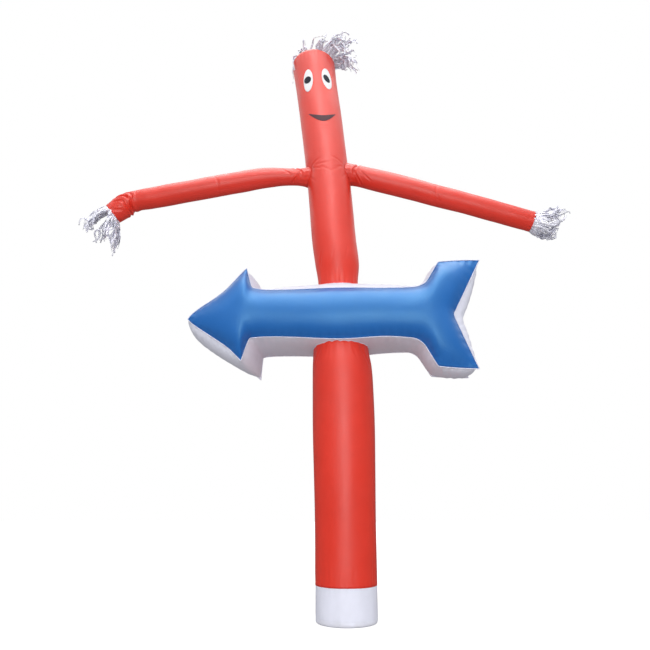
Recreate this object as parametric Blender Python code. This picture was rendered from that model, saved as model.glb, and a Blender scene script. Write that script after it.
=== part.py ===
"""Inflatable tube dancer with a face, two arms, ribbon tassels and a blown arrow round its waist.

Metres, +Z up, and -Y is the front. The tables are written from the middle of the base, on the ground.
At the end the figure is moved so that the middle of its whole box stands over the origin.
Every cloth piece is a shell that grows inwards from its outer surface.
"""

import math
import random
from collections import namedtuple

import bmesh
import bpy
from mathutils import Vector

# Cloth and seams
CLOTH = 0.002
FACE_CLOTH = 0.001
INWARDS = -1.0
OUTWARDS = 1.0
SHARP_ANGLE = math.radians(40)
SEAM_GAP = 0.0003
PATCH_GAP = 0.0005
PUPIL_GAP = 0.0006

# Base cuff, which slips over the air outlet and stands on the ground
CUFF_HEIGHT = 0.25
CUFF_RADIUS = 0.2285
CUFF_MIDDLE_HEIGHT = 0.120
CUFF_MIDDLE_RADIUS = 0.2300
CUFF_TOP_RADIUS = 0.2325
HEM_RADIUS = 0.018
HEM_WIDTH = 0.018
HEM_STEPS = 3

# Body tubes: height, how far the axis has leant over, and radius
Row = namedtuple("Row", "z axis_x radius")
LOWER_ROWS = [
    Row(0.250, 0.0000, 0.2325),
    Row(0.620, 0.0000, 0.2365),
    Row(1.000, -0.0015, 0.2455),
    Row(1.450, -0.0040, 0.2550),
    Row(1.780, -0.0080, 0.2565),
    Row(1.940, -0.0130, 0.2530),
    Row(2.040, -0.0190, 0.2440),
    Row(2.180, -0.0230, 0.2390),
]
UPPER_ROWS = [
    Row(2.610, -0.0370, 0.1790),
    Row(2.755, -0.0410, 0.1830),
    Row(2.915, -0.0485, 0.2010),
    Row(3.165, -0.0750, 0.2060),
    Row(3.600, -0.1060, 0.2075),
    Row(4.060, -0.1490, 0.2085),
    Row(4.550, -0.2000, 0.2130),
    Row(4.960, -0.2480, 0.2150),
    Row(5.235, -0.2780, 0.2240),
]
CROWN_TOP = 5.285
CROWN_EDGE_RADIUS = 0.050
BODY_SIDES = 32
LOWER_HEIGHTS = [0.62, 1.00, 1.45, 1.70, 1.86, 1.97, 2.04, 2.10, 2.18]
LOWER_PLUG_FROM = 1.50
UPPER_HEIGHTS = [
    2.61, 2.68, 2.75, 2.83, 2.92, 3.20, 3.60, 3.78, 3.86, 3.94, 4.10, 4.33, 4.56, 4.80, 5.04, 5.235]
CROWN_STEPS = 3

# Puckers that the waist seams draw into the tubes
PUCKER_DEPTH = 0.004
PUCKER_COUNT = 9
PUCKER_REACH = 0.16
PUCKER_TURN = 1.3

# Pulls in the body cloth beside each arm: angle, height, depth, spread in angle and in height
Pull = namedtuple("Pull", "angle z depth angle_spread z_spread")
PULLS = [
    Pull(math.radians(-148), 3.865, 0.016, 0.26, 0.075),
    Pull(math.radians(-26), 3.880, 0.016, 0.26, 0.080),
]

# Arms: place of each section's middle, and its radius
Section = namedtuple("Section", "x z radius")
LEFT_ARM = [
    Section(-0.190, 3.855, 0.1080),
    Section(-0.310, 3.855, 0.1040),
    Section(-0.360, 3.856, 0.0900),
    Section(-0.425, 3.858, 0.0820),
    Section(-0.563, 3.861, 0.0850),
    Section(-0.670, 3.857, 0.0920),
    Section(-0.790, 3.842, 0.0980),
    Section(-0.950, 3.810, 0.1010),
    Section(-1.400, 3.712, 0.1010),
    Section(-1.850, 3.614, 0.1000),
    Section(-1.955, 3.592, 0.0960),
    Section(-2.020, 3.570, 0.1010),
    Section(-2.075, 3.535, 0.1080),
    Section(-2.182, 3.443, 0.1000),
]
RIGHT_ARM = [
    Section(-0.060, 3.888, 0.1150),
    Section(0.055, 3.885, 0.1120),
    Section(0.110, 3.880, 0.1030),
    Section(0.190, 3.864, 0.1010),
    Section(0.320, 3.829, 0.1040),
    Section(0.620, 3.740, 0.1050),
    Section(1.000, 3.622, 0.1010),
    Section(1.400, 3.494, 0.0985),
    Section(1.740, 3.381, 0.0980),
    Section(1.802, 3.360, 0.0990),
]
ARM_SIDES = 16
ARM_LOOK = 0.01

# Arrow: each station crosses the face from its top edge to its bottom edge.
# middle_x is where the station crosses the arrow's mid line. back_y is the back sheet's place, and
# back_dx and back_dz its shift against the face. The puffs say how far the side band swells outwards.
Station = namedtuple(
    "Station", "top_x top_z middle_x bottom_x bottom_z back_y back_dx back_dz top_puff bottom_puff")
STATIONS = [
    Station(-1.332, 2.315, -1.332, -1.332, 2.315, 0.130, 0.030, -0.050, 0.035, 0.035),
    Station(-1.296, 2.368, -1.290, -1.290, 2.270, 0.150, 0.045, -0.050, 0.045, 0.060),
    Station(-1.198, 2.442, -1.190, -1.180, 2.197, 0.200, 0.070, -0.050, 0.060, 0.080),
    Station(-1.099, 2.504, -1.085, -1.072, 2.124, 0.225, 0.090, -0.050, 0.065, 0.085),
    Station(-0.999, 2.592, -0.985, -0.968, 2.055, 0.245, 0.100, -0.050, 0.065, 0.080),
    Station(-0.925, 2.690, -0.910, -0.898, 1.983, 0.255, 0.110, -0.050, 0.055, 0.060),
    Station(-0.843, 2.779, -0.850, -0.850, 1.936, 0.260, 0.115, -0.050, 0.030, 0.025),
    Station(-0.821, 2.690, -0.822, -0.822, 2.040, 0.262, 0.100, -0.045, 0.045, 0.040),
    Station(-0.792, 2.592, -0.785, -0.790, 2.130, 0.265, 0.060, -0.035, 0.028, 0.020),
    Station(-0.715, 2.567, -0.710, -0.712, 2.139, 0.265, 0.030, -0.030, 0.050, 0.020),
    Station(-0.580, 2.562, -0.580, -0.580, 2.138, 0.265, 0.010, -0.025, 0.080, 0.022),
    Station(-0.400, 2.562, -0.400, -0.400, 2.130, 0.265, 0.000, -0.015, 0.105, 0.024),
    Station(-0.220, 2.565, -0.220, -0.220, 2.114, 0.265, 0.000, -0.005, 0.118, 0.022),
    Station(-0.030, 2.567, -0.030, -0.030, 2.103, 0.262, 0.000, 0.000, 0.120, 0.020),
    Station(0.150, 2.559, 0.150, 0.150, 2.110, 0.252, 0.000, 0.000, 0.116, 0.020),
    Station(0.330, 2.549, 0.330, 0.330, 2.122, 0.205, 0.000, 0.000, 0.100, 0.020),
    Station(0.490, 2.547, 0.480, 0.480, 2.108, 0.130, 0.000, 0.000, 0.080, 0.020),
    Station(0.615, 2.550, 0.590, 0.585, 2.094, 0.075, 0.005, 0.000, 0.050, 0.014),
    Station(0.690, 2.585, 0.655, 0.645, 2.045, 0.040, 0.005, 0.000, 0.030, 0.016),
    Station(0.748, 2.685, 0.705, 0.695, 1.943, 0.015, 0.005, 0.000, 0.045, 0.035),
    Station(0.805, 2.776, 0.755, 0.743, 1.855, 0.000, 0.005, 0.000, 0.035, 0.028),
    Station(0.920, 2.781, 0.800, 0.845, 1.842, -0.020, 0.000, 0.000, 0.050, 0.040),
    Station(1.035, 2.783, 0.850, 0.955, 1.832, -0.040, -0.005, 0.000, 0.045, 0.038),
    Station(1.150, 2.778, 0.896, 1.060, 1.828, -0.060, -0.015, 0.000, 0.025, 0.022),
]
FACE_Y = -0.265
FACE_YAW = math.radians(4.5)
NOTCH_Z = 2.290
NOTCH_PUFF = 0.105
ACROSS = 8
BAND_ROWS = 5
FACE_CROWN = 0.105
BACK_CROWN = 0.085
CROWN_REFERENCE = 0.0484
CROWN_POWER = 0.62
MEMBRANE_ROUNDS = 900
MEMBRANE_LOAD = 2.0
LEAST_SPAN = 0.001
SEAM_SETBACK = 0.0003
MITRE_LIMIT = 2.5
HOLE_CLEARANCE = 0.0004

# Face: places are the angle from the front and the height, sizes are half width and half height
Patch = namedtuple("Patch", "name angle z half_width half_height tilt")
EYE_WHITES = [
    Patch("eye_white_left", math.radians(-25.5), 4.872, 0.052, 0.135, -0.10),
    Patch("eye_white_right", math.radians(28.5), 4.900, 0.056, 0.130, 0.00),
]
PUPILS = [
    Patch("pupil_left", math.radians(-26.5), 4.880, 0.038, 0.042, -0.10),
    Patch("pupil_right", math.radians(27.5), 4.899, 0.034, 0.046, 0.20),
]
EYE_RINGS = 3
EYE_SPOKES = 18
PUPIL_RINGS = 2
PUPIL_SPOKES = 14
MOUTH_FROM = math.radians(-36.5)
MOUTH_TO = math.radians(38.5)
MOUTH_CORNER_Z = 4.474
MOUTH_TOP_Z = 4.424
MOUTH_LOW_Z = 4.356
MOUTH_COLUMNS = 20
MOUTH_ROWS = 2
MOUTH_CORNER_HEIGHT = 0.008

# Ribbons: each table row gives the ribbon at one angle round its ring, in degrees. It runs ahead by
# its length, flares out from the ring's axis, and falls under its own weight.
Lock = namedtuple("Lock", "angle length flare fall")
HAIR_LOCKS = [
    Lock(-150, 0.15, 0.15, 0.20),
    Lock(-90, 0.22, 0.14, 0.06),
    Lock(-50, 0.34, 0.12, 0.03),
    Lock(-25, 0.34, 0.24, 0.06),
    Lock(0, 0.24, 0.22, 0.24),
    Lock(25, 0.36, 0.26, 0.08),
    Lock(60, 0.42, 0.12, 0.03),
    Lock(110, 0.32, 0.10, 0.03),
    Lock(150, 0.22, 0.14, 0.10),
    Lock(180, 0.13, 0.16, 0.34),
]
HAIR_SWAY = Vector((0.22, 0.0, 0.0))
LEFT_LOCKS = [
    Lock(-90, 0.30, 0.03, 0.01),
    Lock(-45, 0.27, 0.05, 0.05),
    Lock(-10, 0.16, 0.06, 0.18),
    Lock(20, 0.06, 0.05, 0.27),
    Lock(90, 0.03, 0.04, 0.29),
    Lock(160, 0.06, 0.05, 0.27),
    Lock(190, 0.16, 0.06, 0.18),
    Lock(225, 0.27, 0.05, 0.05),
]
RIGHT_LOCKS = [
    Lock(-90, 0.22, 0.03, 0.00),
    Lock(0, 0.30, 0.07, -0.08),
    Lock(90, 0.27, 0.14, -0.10),
    Lock(180, 0.29, 0.07, -0.08),
]
NO_SWAY = Vector((0.0, 0.0, 0.0))
RIBBON_THICKNESS = 0.003
RIBBON_STEPS = 5
RIBBON_BOW = 1.25
RIBBON_LOOK = 0.02
RIBBON_TIP_WIDTH = 0.60
RIBBON_SHUFFLE = 0.14
HAIR_RIBBONS = 18
HAND_RIBBONS = 14
HAIR_SEED = 3
LEFT_SEED = 5
RIGHT_SEED = 8
HAIR_RING_RADIUS = 0.150
RING_HEIGHT = 0.014
HAND_RING_CLEARANCE = 0.0005
HAND_RING_PROUD = 0.006

# Colours, as linear red, green and blue
RED = (0.78, 0.060, 0.035)
WHITE = (0.80, 0.81, 0.88)
BLUE = (0.045, 0.20, 0.55)
EYE_WHITE = (0.90, 0.90, 0.92)
PUPIL_DARK = (0.010, 0.016, 0.030)
MOUTH_DARK = (0.080, 0.055, 0.075)
SILVER = (0.72, 0.72, 0.78)


def clear_scene():
    """Empties the scene before the figure is made."""
    for item in list(bpy.data.objects):
        bpy.data.objects.remove(item, do_unlink=True)


def between(rows, place, key, value):
    """Reads a table at a place between its rows, on a smooth curve through them."""
    places = [key(row) for row in rows]
    values = [value(row) for row in rows]
    last = len(rows) - 1
    index = 0
    while index < last - 1 and place > places[index + 1]:
        index += 1

    def slope(at):
        before = max(at - 1, 0)
        after = min(at + 1, last)
        return (values[after] - values[before]) / (places[after] - places[before])

    width = places[index + 1] - places[index]
    t = (place - places[index]) / width
    rise = values[index + 1] - values[index]
    bend = t * t * (3.0 - 2.0 * t)
    start = slope(index) * width * t * (1.0 - t) ** 2
    finish = slope(index + 1) * width * t * t * (t - 1.0)
    return values[index] + rise * bend + start + finish


def cloth_material(name, colour, roughness, metallic=0.0):
    """Makes a plain material, once for each name."""
    material = bpy.data.materials.get(name)
    if material is None:
        material = bpy.data.materials.new(name)
        material.use_nodes = True
        shader = material.node_tree.nodes["Principled BSDF"]
        shader.inputs["Base Color"].default_value = (*colour, 1.0)
        shader.inputs["Roughness"].default_value = roughness
        shader.inputs["Metallic"].default_value = metallic
    return material


def add_object(name, points, faces, material):
    """Makes an object from points and faces."""
    mesh = bpy.data.meshes.new(name)
    mesh.from_pydata([tuple(point) for point in points], [], faces)
    mesh.validate()
    mesh.shade_smooth()
    mesh.set_sharp_from_angle(angle=SHARP_ANGLE)
    item = bpy.data.objects.new(name, mesh)
    bpy.context.scene.collection.objects.link(item)
    if material is not None:
        item.data.materials.append(material)
    return item


def thicken(item, thickness, side):
    """Grows a sheet inwards or outwards from its surface."""
    solid = item.modifiers.new("cloth", "SOLIDIFY")
    solid.thickness = thickness
    solid.offset = side
    solid.use_even_offset = True
    solid.use_rim = True


def cut(item, cutter):
    """Takes the cutter's shape out of a piece."""
    boolean = item.modifiers.new("cut_" + cutter.name, "BOOLEAN")
    boolean.operation = "DIFFERENCE"
    boolean.object = cutter
    cutter.hide_render = True
    cutter.display_type = "WIRE"


def tube_faces(rings, sides):
    """Joins rings of points into a tube of triangles that look outwards."""
    faces = []
    for ring in range(rings - 1):
        for side in range(sides):
            after = (side + 1) % sides
            low = ring * sides
            high = low + sides
            faces.append((low + side, low + after, high + after))
            faces.append((low + side, high + after, high + side))
    return faces


def seam_pucker(angle, z):
    """How far the body cloth is drawn in beside the two waist seams."""
    lower_seam = LOWER_ROWS[-1].z
    upper_seam = UPPER_ROWS[0].z
    if z <= lower_seam:
        away = lower_seam - z
    elif z >= upper_seam:
        away = z - upper_seam
    else:
        away = 0.0
    fade = math.exp(-((away / PUCKER_REACH) ** 2))
    return -PUCKER_DEPTH * fade * (0.5 + 0.5 * math.cos(PUCKER_COUNT * angle + PUCKER_TURN))


def arm_pull(angle, z):
    """How far the body cloth is pulled in beside the arms."""
    depth = 0.0
    for pull in PULLS:
        turn = math.remainder(angle - pull.angle, math.tau) / pull.angle_spread
        climb = (z - pull.z) / pull.z_spread
        depth -= pull.depth * math.exp(-turn * turn - climb * climb)
    return depth


def body_axis(z):
    """Where the body's axis has leant to at a height."""
    rows = LOWER_ROWS if z <= LOWER_ROWS[-1].z else UPPER_ROWS
    return between(rows, min(z, rows[-1].z), lambda row: row.z, lambda row: row.axis_x)


def body_radius(angle, z):
    """The body's outer radius at an angle from +X and a height."""
    rows = LOWER_ROWS if z <= LOWER_ROWS[-1].z else UPPER_ROWS
    plain = between(rows, min(z, rows[-1].z), lambda row: row.z, lambda row: row.radius)
    return plain + seam_pucker(angle, z) + arm_pull(angle, z)


def body_point(angle, z, out=0.0):
    """A point on the body's outer surface, or out from it."""
    radius = body_radius(angle, z) + out
    return Vector((body_axis(z) + radius * math.cos(angle), radius * math.sin(angle), z))


def body_ring(z, out=0.0):
    """One ring of points round the body."""
    return [body_point(math.tau * side / BODY_SIDES, z, out) for side in range(BODY_SIDES)]


def closed_plug(name, rings):
    """A closed solid through rings of points, for cutting the cloth round a tube."""
    points = [point for ring in rings for point in ring]
    sides = len(rings[0])
    faces = tube_faces(len(rings), sides)
    faces.append(tuple(reversed(range(sides))))
    faces.append(tuple(range(len(points) - sides, len(points))))
    return add_object(name, points, faces, None)


def make_cuff():
    """The white cuff, with its hem rounded under to a flat ring on the ground."""
    hem_middle = CUFF_RADIUS - HEM_RADIUS
    profile = [(hem_middle - HEM_WIDTH, 0.0)]
    for step in range(HEM_STEPS + 1):
        turn = math.radians(90.0 * step / HEM_STEPS)
        profile.append((hem_middle + HEM_RADIUS * math.sin(turn), HEM_RADIUS * (1.0 - math.cos(turn))))
    profile.append((CUFF_MIDDLE_RADIUS, CUFF_MIDDLE_HEIGHT))
    profile.append((CUFF_TOP_RADIUS, CUFF_HEIGHT - SEAM_GAP))
    points = []
    for radius, z in profile:
        for side in range(BODY_SIDES):
            angle = math.tau * side / BODY_SIDES
            points.append((radius * math.cos(angle), radius * math.sin(angle), z))
    faces = tube_faces(len(profile), BODY_SIDES)
    cuff = add_object("base_cuff", points, faces, cloth_material("white_nylon", WHITE, 0.55))
    thicken(cuff, CLOTH, INWARDS)
    return cuff


def make_lower_tube():
    """The red tube from the cuff up into the arrow."""
    rings = [body_ring(z) for z in [CUFF_HEIGHT] + LOWER_HEIGHTS]
    points = [point for ring in rings for point in ring]
    tube = add_object(
        "lower_tube", points, tube_faces(len(rings), BODY_SIDES), cloth_material("red_nylon", RED, 0.45))
    thicken(tube, CLOTH, INWARDS)
    return tube


def crown_rings():
    """The rings that round the head over to its flat top."""
    rings = []
    z_start = CROWN_TOP - CROWN_EDGE_RADIUS
    for step in range(1, CROWN_STEPS + 1):
        turn = math.radians(90.0 * step / CROWN_STEPS)
        inset = CROWN_EDGE_RADIUS * (1.0 - math.cos(turn))
        climb = CROWN_EDGE_RADIUS * math.sin(turn)
        ring = []
        for point in body_ring(z_start, -inset):
            ring.append(Vector((point.x, point.y, z_start + climb)))
        rings.append(ring)
    return rings


def make_upper_tube():
    """The red tube from the arrow up to the head, closed by its crown."""
    rings = [body_ring(z) for z in UPPER_HEIGHTS] + crown_rings()
    points = [point for ring in rings for point in ring]
    faces = tube_faces(len(rings), BODY_SIDES)
    first = len(points) - BODY_SIDES
    faces.append(tuple(range(first, len(points))))
    tube = add_object("upper_tube", points, faces, cloth_material("red_nylon", RED, 0.45))
    thicken(tube, CLOTH, INWARDS)
    return tube


def arm_path(sections):
    """Middle, direction and radius at every ring of an arm."""
    travel = [0.0]
    for before, after in zip(sections, sections[1:]):
        travel.append(travel[-1] + math.hypot(after.x - before.x, after.z - before.z))
    marked = list(zip(travel, sections))

    def read(at, name):
        return between(marked, at, lambda row: row[0], lambda row: getattr(row[1], name))

    path = []
    for stop in travel:
        ahead = min(stop + ARM_LOOK, travel[-1])
        behind = max(stop - ARM_LOOK, 0.0)
        way = Vector((read(ahead, "x") - read(behind, "x"), 0.0, read(ahead, "z") - read(behind, "z")))
        middle = Vector((read(stop, "x"), 0.0, read(stop, "z")))
        path.append((middle, way.normalized(), read(stop, "radius")))
    return path


def arm_ring(middle, way, radius):
    """A ring of points square to the arm."""
    side_way = Vector((0.0, 1.0, 0.0))
    up_way = way.cross(side_way)
    ring = []
    for side in range(ARM_SIDES):
        angle = math.tau * side / ARM_SIDES
        ring.append(middle + radius * (math.cos(angle) * side_way + math.sin(angle) * up_way))
    return ring


def make_arm(name, sections, body_plug):
    """One arm, cut to sit on the body, with its far end open."""
    path = arm_path(sections)
    rings = [arm_ring(*stop) for stop in path]
    points = [point for ring in rings for point in ring]
    arm = add_object(
        name, points, tube_faces(len(rings), ARM_SIDES), cloth_material("red_nylon", RED, 0.45))
    thicken(arm, CLOTH, INWARDS)
    cut(arm, body_plug)
    return arm


def station_line(station, is_last):
    """Points of a station across the face, from its top edge to its bottom edge."""
    middle_z = NOTCH_Z if is_last else 0.5 * (station.top_z + station.bottom_z)
    line = []
    for step in range(ACROSS + 1):
        share = step / ACROSS
        if share <= 0.5:
            t = share * 2.0
            x = station.top_x + (station.middle_x - station.top_x) * t
            z = station.top_z + (middle_z - station.top_z) * t
        else:
            t = share * 2.0 - 1.0
            x = station.middle_x + (station.bottom_x - station.middle_x) * t
            z = middle_z + (station.bottom_z - middle_z) * t
        line.append((x, z))
    return line


def membrane_heights(lines):
    """Heights of a sheet blown up over the face's outline, by letting every point follow its neighbours."""
    columns = len(lines)
    spots = {}
    for column in range(columns):
        for row in range(ACROSS + 1):
            spots[column, row] = Vector(lines[column][row])
    heights = {key: 0.0 for key in spots}
    inner = [(c, r) for c in range(1, columns - 1) for r in range(1, ACROSS)]
    links = {}
    for c, r in inner:
        sums = []
        for near in ((c - 1, r), (c + 1, r), (c, r - 1), (c, r + 1)):
            span = max((spots[near] - spots[c, r]).length, LEAST_SPAN)
            sums.append((near, 1.0 / span ** 2))
        links[c, r] = (sums, sum(weight for _, weight in sums))
    for _ in range(MEMBRANE_ROUNDS):
        for key in inner:
            sums, total = links[key]
            heights[key] = (MEMBRANE_LOAD + sum(weight * heights[near] for near, weight in sums)) / total
    return heights


def crown_of(height, crown):
    """Turns a membrane height into how far the blown cloth stands out."""
    return crown * (max(height, 0.0) / CROWN_REFERENCE) ** CROWN_POWER


def outline_of(lines):
    """Grid places round the face's edge, once round: top edge, notch, then bottom edge."""
    last = len(lines) - 1
    loop = [(column, 0) for column in range(last + 1)]
    loop += [(last, row) for row in range(1, ACROSS)]
    loop += [(column, ACROSS) for column in range(last, 0, -1)]
    return loop


def edge_puff(place, last):
    """How far the side band swells outwards beside a place on the face's edge."""
    column, row = place
    if 0 < row < ACROSS:
        reach = math.sin(math.pi * row / ACROSS)
        return STATIONS[last].top_puff + (NOTCH_PUFF - STATIONS[last].top_puff) * reach
    return STATIONS[column].top_puff if row == 0 else STATIONS[column].bottom_puff


def arrow_surface():
    """The arrow's outer skin as points, and its faces by piece."""
    last = len(STATIONS) - 1
    lines = [station_line(station, index == last) for index, station in enumerate(STATIONS)]
    heights = membrane_heights(lines)
    points = []
    index_of = {}

    def face_y(x):
        return FACE_Y - math.tan(FACE_YAW) * x

    def add_point(key, position):
        index_of[key] = len(points)
        points.append(Vector(position))

    for column in range(last + 1):
        for row in range(ACROSS + 1):
            if column == 0 and row > 0:
                index_of["front", 0, row] = index_of["front", 0, 0]
                index_of["back", 0, row] = index_of["back", 0, 0]
                continue
            x, z = lines[column][row]
            station = STATIONS[column]
            height = heights[column, row]
            add_point(("front", column, row), (x, face_y(x) - crown_of(height, FACE_CROWN), z))
            back = (x + station.back_dx, station.back_y + crown_of(height, BACK_CROWN), z + station.back_dz)
            add_point(("back", column, row), back)

    faces = {"arrow_face": [], "arrow_band": [], "arrow_back": []}
    for column in range(last):
        for row in range(ACROSS):
            corners = ((column, row), (column + 1, row), (column + 1, row + 1), (column, row + 1))
            front = [index_of[("front", *corner)] for corner in corners]
            back = [index_of[("back", *corner)] for corner in reversed(corners)]
            faces["arrow_face"].append(tuple(dict.fromkeys(front)))
            faces["arrow_back"].append(tuple(dict.fromkeys(back)))

    loop = outline_of(lines)
    count = len(loop)
    for step, place in enumerate(loop):
        x, z = lines[place[0]][place[1]]
        ahead = Vector(lines[loop[(step + 1) % count][0]][loop[(step + 1) % count][1]])
        behind = Vector(lines[loop[step - 1][0]][loop[step - 1][1]])
        along_in = (Vector((x, z)) - behind).normalized()
        along_out = (ahead - Vector((x, z))).normalized()
        along = (along_in + along_out).normalized()
        outward = Vector((-along.y, 0.0, along.x))
        start = points[index_of[("front", *place)]]
        finish = points[index_of[("back", *place)]]
        puff = edge_puff(place, last)
        for band in range(1, BAND_ROWS):
            turn = math.pi * band / BAND_ROWS
            share = 0.5 - 0.5 * math.cos(turn)
            add_point(("band", step, band), start.lerp(finish, share) + outward * puff * math.sin(turn))
        index_of["band", step, 0] = index_of[("front", *place)]
        index_of["band", step, BAND_ROWS] = index_of[("back", *place)]
    for step in range(count):
        after = (step + 1) % count
        for band in range(BAND_ROWS):
            faces["arrow_band"].append((
                index_of["band", step, band], index_of["band", step, band + 1],
                index_of["band", after, band + 1], index_of["band", after, band]))
    return points, faces


def inner_skin(points, faces):
    """Each point's place on the inside of the cloth, mitred where two pieces meet."""
    skin = bmesh.new()
    corners = [skin.verts.new(point) for point in points]
    for piece in faces.values():
        for face in piece:
            skin.faces.new([corners[index] for index in face])
    bmesh.ops.recalc_face_normals(skin, faces=skin.faces)
    skin.verts.index_update()
    skin.normal_update()
    inside = []
    outward_faces = {}
    for vertex in skin.verts:
        closest = min(vertex.normal.dot(face.normal) for face in vertex.link_faces)
        stretch = 1.0 / max(closest, 1.0 / MITRE_LIMIT)
        inside.append(vertex.co - vertex.normal * CLOTH * stretch)
    for face in skin.faces:
        wound = tuple(vertex.index for vertex in face.verts)
        outward_faces[frozenset(wound)] = wound
    skin.free()
    return inside, outward_faces


def make_arrow():
    """The arrow's blue face, white side band and white back, sewn edge to edge."""
    points, faces = arrow_surface()
    inside, wound_faces = inner_skin(points, faces)
    materials = {
        "arrow_face": cloth_material("blue_nylon", BLUE, 0.42),
        "arrow_band": cloth_material("white_nylon", WHITE, 0.55),
        "arrow_back": cloth_material("white_nylon", WHITE, 0.55),
    }
    made = {}
    for name, piece in faces.items():
        wound = [wound_faces[frozenset(face)] for face in piece]
        made[name] = add_object(name, *shell_of(wound, points, inside), materials[name])
    return made


def split_face(face, points):
    """A face as triangles, parted along its shorter diagonal."""
    if len(face) == 3:
        return [face]
    a, b, c, d = face
    if (points[a] - points[c]).length < (points[b] - points[d]).length:
        return [(a, b, c), (a, c, d)]
    return [(a, b, d), (b, c, d)]


def shell_of(wound, points, inside):
    """A closed shell from one piece's outer faces, set back a little from its seams.

    The inside has the outside's triangles, so the cloth is as thick everywhere.
    """
    directed = {}
    for face in wound:
        for here, there in zip(face, face[1:] + face[:1]):
            directed[here, there] = face
    rim = [edge for edge in directed if (edge[1], edge[0]) not in directed]
    on_rim = {index for edge in rim for index in edge}
    before = {there: here for here, there in rim}
    after = dict(rim)
    pull = {index: Vector() for index in on_rim}
    for face in wound:
        centre = sum((points[index] for index in face), Vector()) / len(face)
        for index in face:
            if index in on_rim:
                along = (points[after[index]] - points[before[index]]).normalized()
                inward = centre - points[index]
                pull[index] += (inward - along * inward.dot(along)).normalized()
    used = sorted({index for face in wound for index in face})
    outer_of = {index: order for order, index in enumerate(used)}
    shift = {}
    for index in used:
        shift[index] = pull[index].normalized() * SEAM_SETBACK if index in on_rim else Vector()
    corners = [points[index] + shift[index] for index in used]
    corners += [inside[index] + shift[index] for index in used]
    count = len(used)
    faces = []
    for face in wound:
        for triangle in split_face(face, points):
            outer = [outer_of[index] for index in triangle]
            inner = [index + count for index in reversed(outer)]
            faces += [tuple(outer), tuple(inner)]
    for here, there in rim:
        a, b = outer_of[here], outer_of[there]
        if here < there:
            faces += [(b, a, b + count), (a, a + count, b + count)]
        else:
            faces += [(b, a, a + count), (b, a + count, b + count)]
    return corners, faces


def face_place(angle, z, out):
    """A point on the head, at an angle from the front, level with the straight cloth between two rings."""
    low = max(height for height in UPPER_HEIGHTS if height <= z)
    high = min(height for height in UPPER_HEIGHTS if height > z)
    turn = angle - math.pi / 2.0
    return body_point(turn, low, out).lerp(body_point(turn, high, out), (z - low) / (high - low))


def make_oval(patch, out, rings, spokes, material):
    """An oval patch that follows the head."""
    radius = body_radius(patch.angle - math.pi / 2.0, patch.z)
    points = [face_place(patch.angle, patch.z, out)]
    faces = []
    for ring in range(1, rings + 1):
        share = ring / rings
        for spoke in range(spokes):
            turn = math.tau * spoke / spokes
            across = patch.half_width * share * math.cos(turn)
            up = patch.half_height * share * math.sin(turn)
            across -= up * patch.tilt
            points.append(face_place(patch.angle + across / radius, patch.z + up, out))
    for spoke in range(spokes):
        after = (spoke + 1) % spokes
        faces.append((0, 1 + spoke, 1 + after))
        for ring in range(rings - 1):
            low = 1 + ring * spokes
            high = low + spokes
            faces.append((low + spoke, high + spoke, high + after, low + after))
    oval = add_object(patch.name, points, faces, material)
    thicken(oval, FACE_CLOTH, OUTWARDS)
    return oval


def make_mouth():
    """The smiling mouth, a crescent that follows the head."""
    points = []
    for column in range(MOUTH_COLUMNS + 1):
        share = column / MOUTH_COLUMNS
        angle = MOUTH_FROM + (MOUTH_TO - MOUTH_FROM) * share
        drop = math.sin(math.pi * share)
        top = MOUTH_CORNER_Z + (MOUTH_TOP_Z - MOUTH_CORNER_Z) * drop
        low_corner = MOUTH_CORNER_Z - MOUTH_CORNER_HEIGHT
        low = low_corner + (MOUTH_LOW_Z - low_corner) * drop
        for row in range(MOUTH_ROWS + 1):
            points.append(face_place(angle, low + (top - low) * row / MOUTH_ROWS, PATCH_GAP))
    faces = []
    step = MOUTH_ROWS + 1
    for column in range(MOUTH_COLUMNS):
        for row in range(MOUTH_ROWS):
            low = column * step + row
            faces.append((low, low + step, low + step + 1, low + 1))
    mouth = add_object("mouth", points, faces, cloth_material("mouth_print", MOUTH_DARK, 0.6))
    thicken(mouth, FACE_CLOTH, OUTWARDS)
    return mouth


def lock_at(locks, angle):
    """Reads a lock table at an angle in degrees, round the whole ring."""
    rows = sorted(locks, key=lambda lock: lock.angle)
    before_first = rows[-1]._replace(angle=rows[-1].angle - 360)
    after_last = rows[0]._replace(angle=rows[0].angle + 360)
    wrapped = [before_first] + rows + [after_last]
    while angle < wrapped[0].angle:
        angle += 360
    while angle > wrapped[-1].angle:
        angle -= 360
    for before, after in zip(wrapped, wrapped[1:]):
        if before.angle <= angle <= after.angle:
            t = (angle - before.angle) / (after.angle - before.angle)
            return Lock(angle, *(a + (b - a) * t for a, b in zip(before[1:], after[1:])))
    return rows[0]


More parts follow.
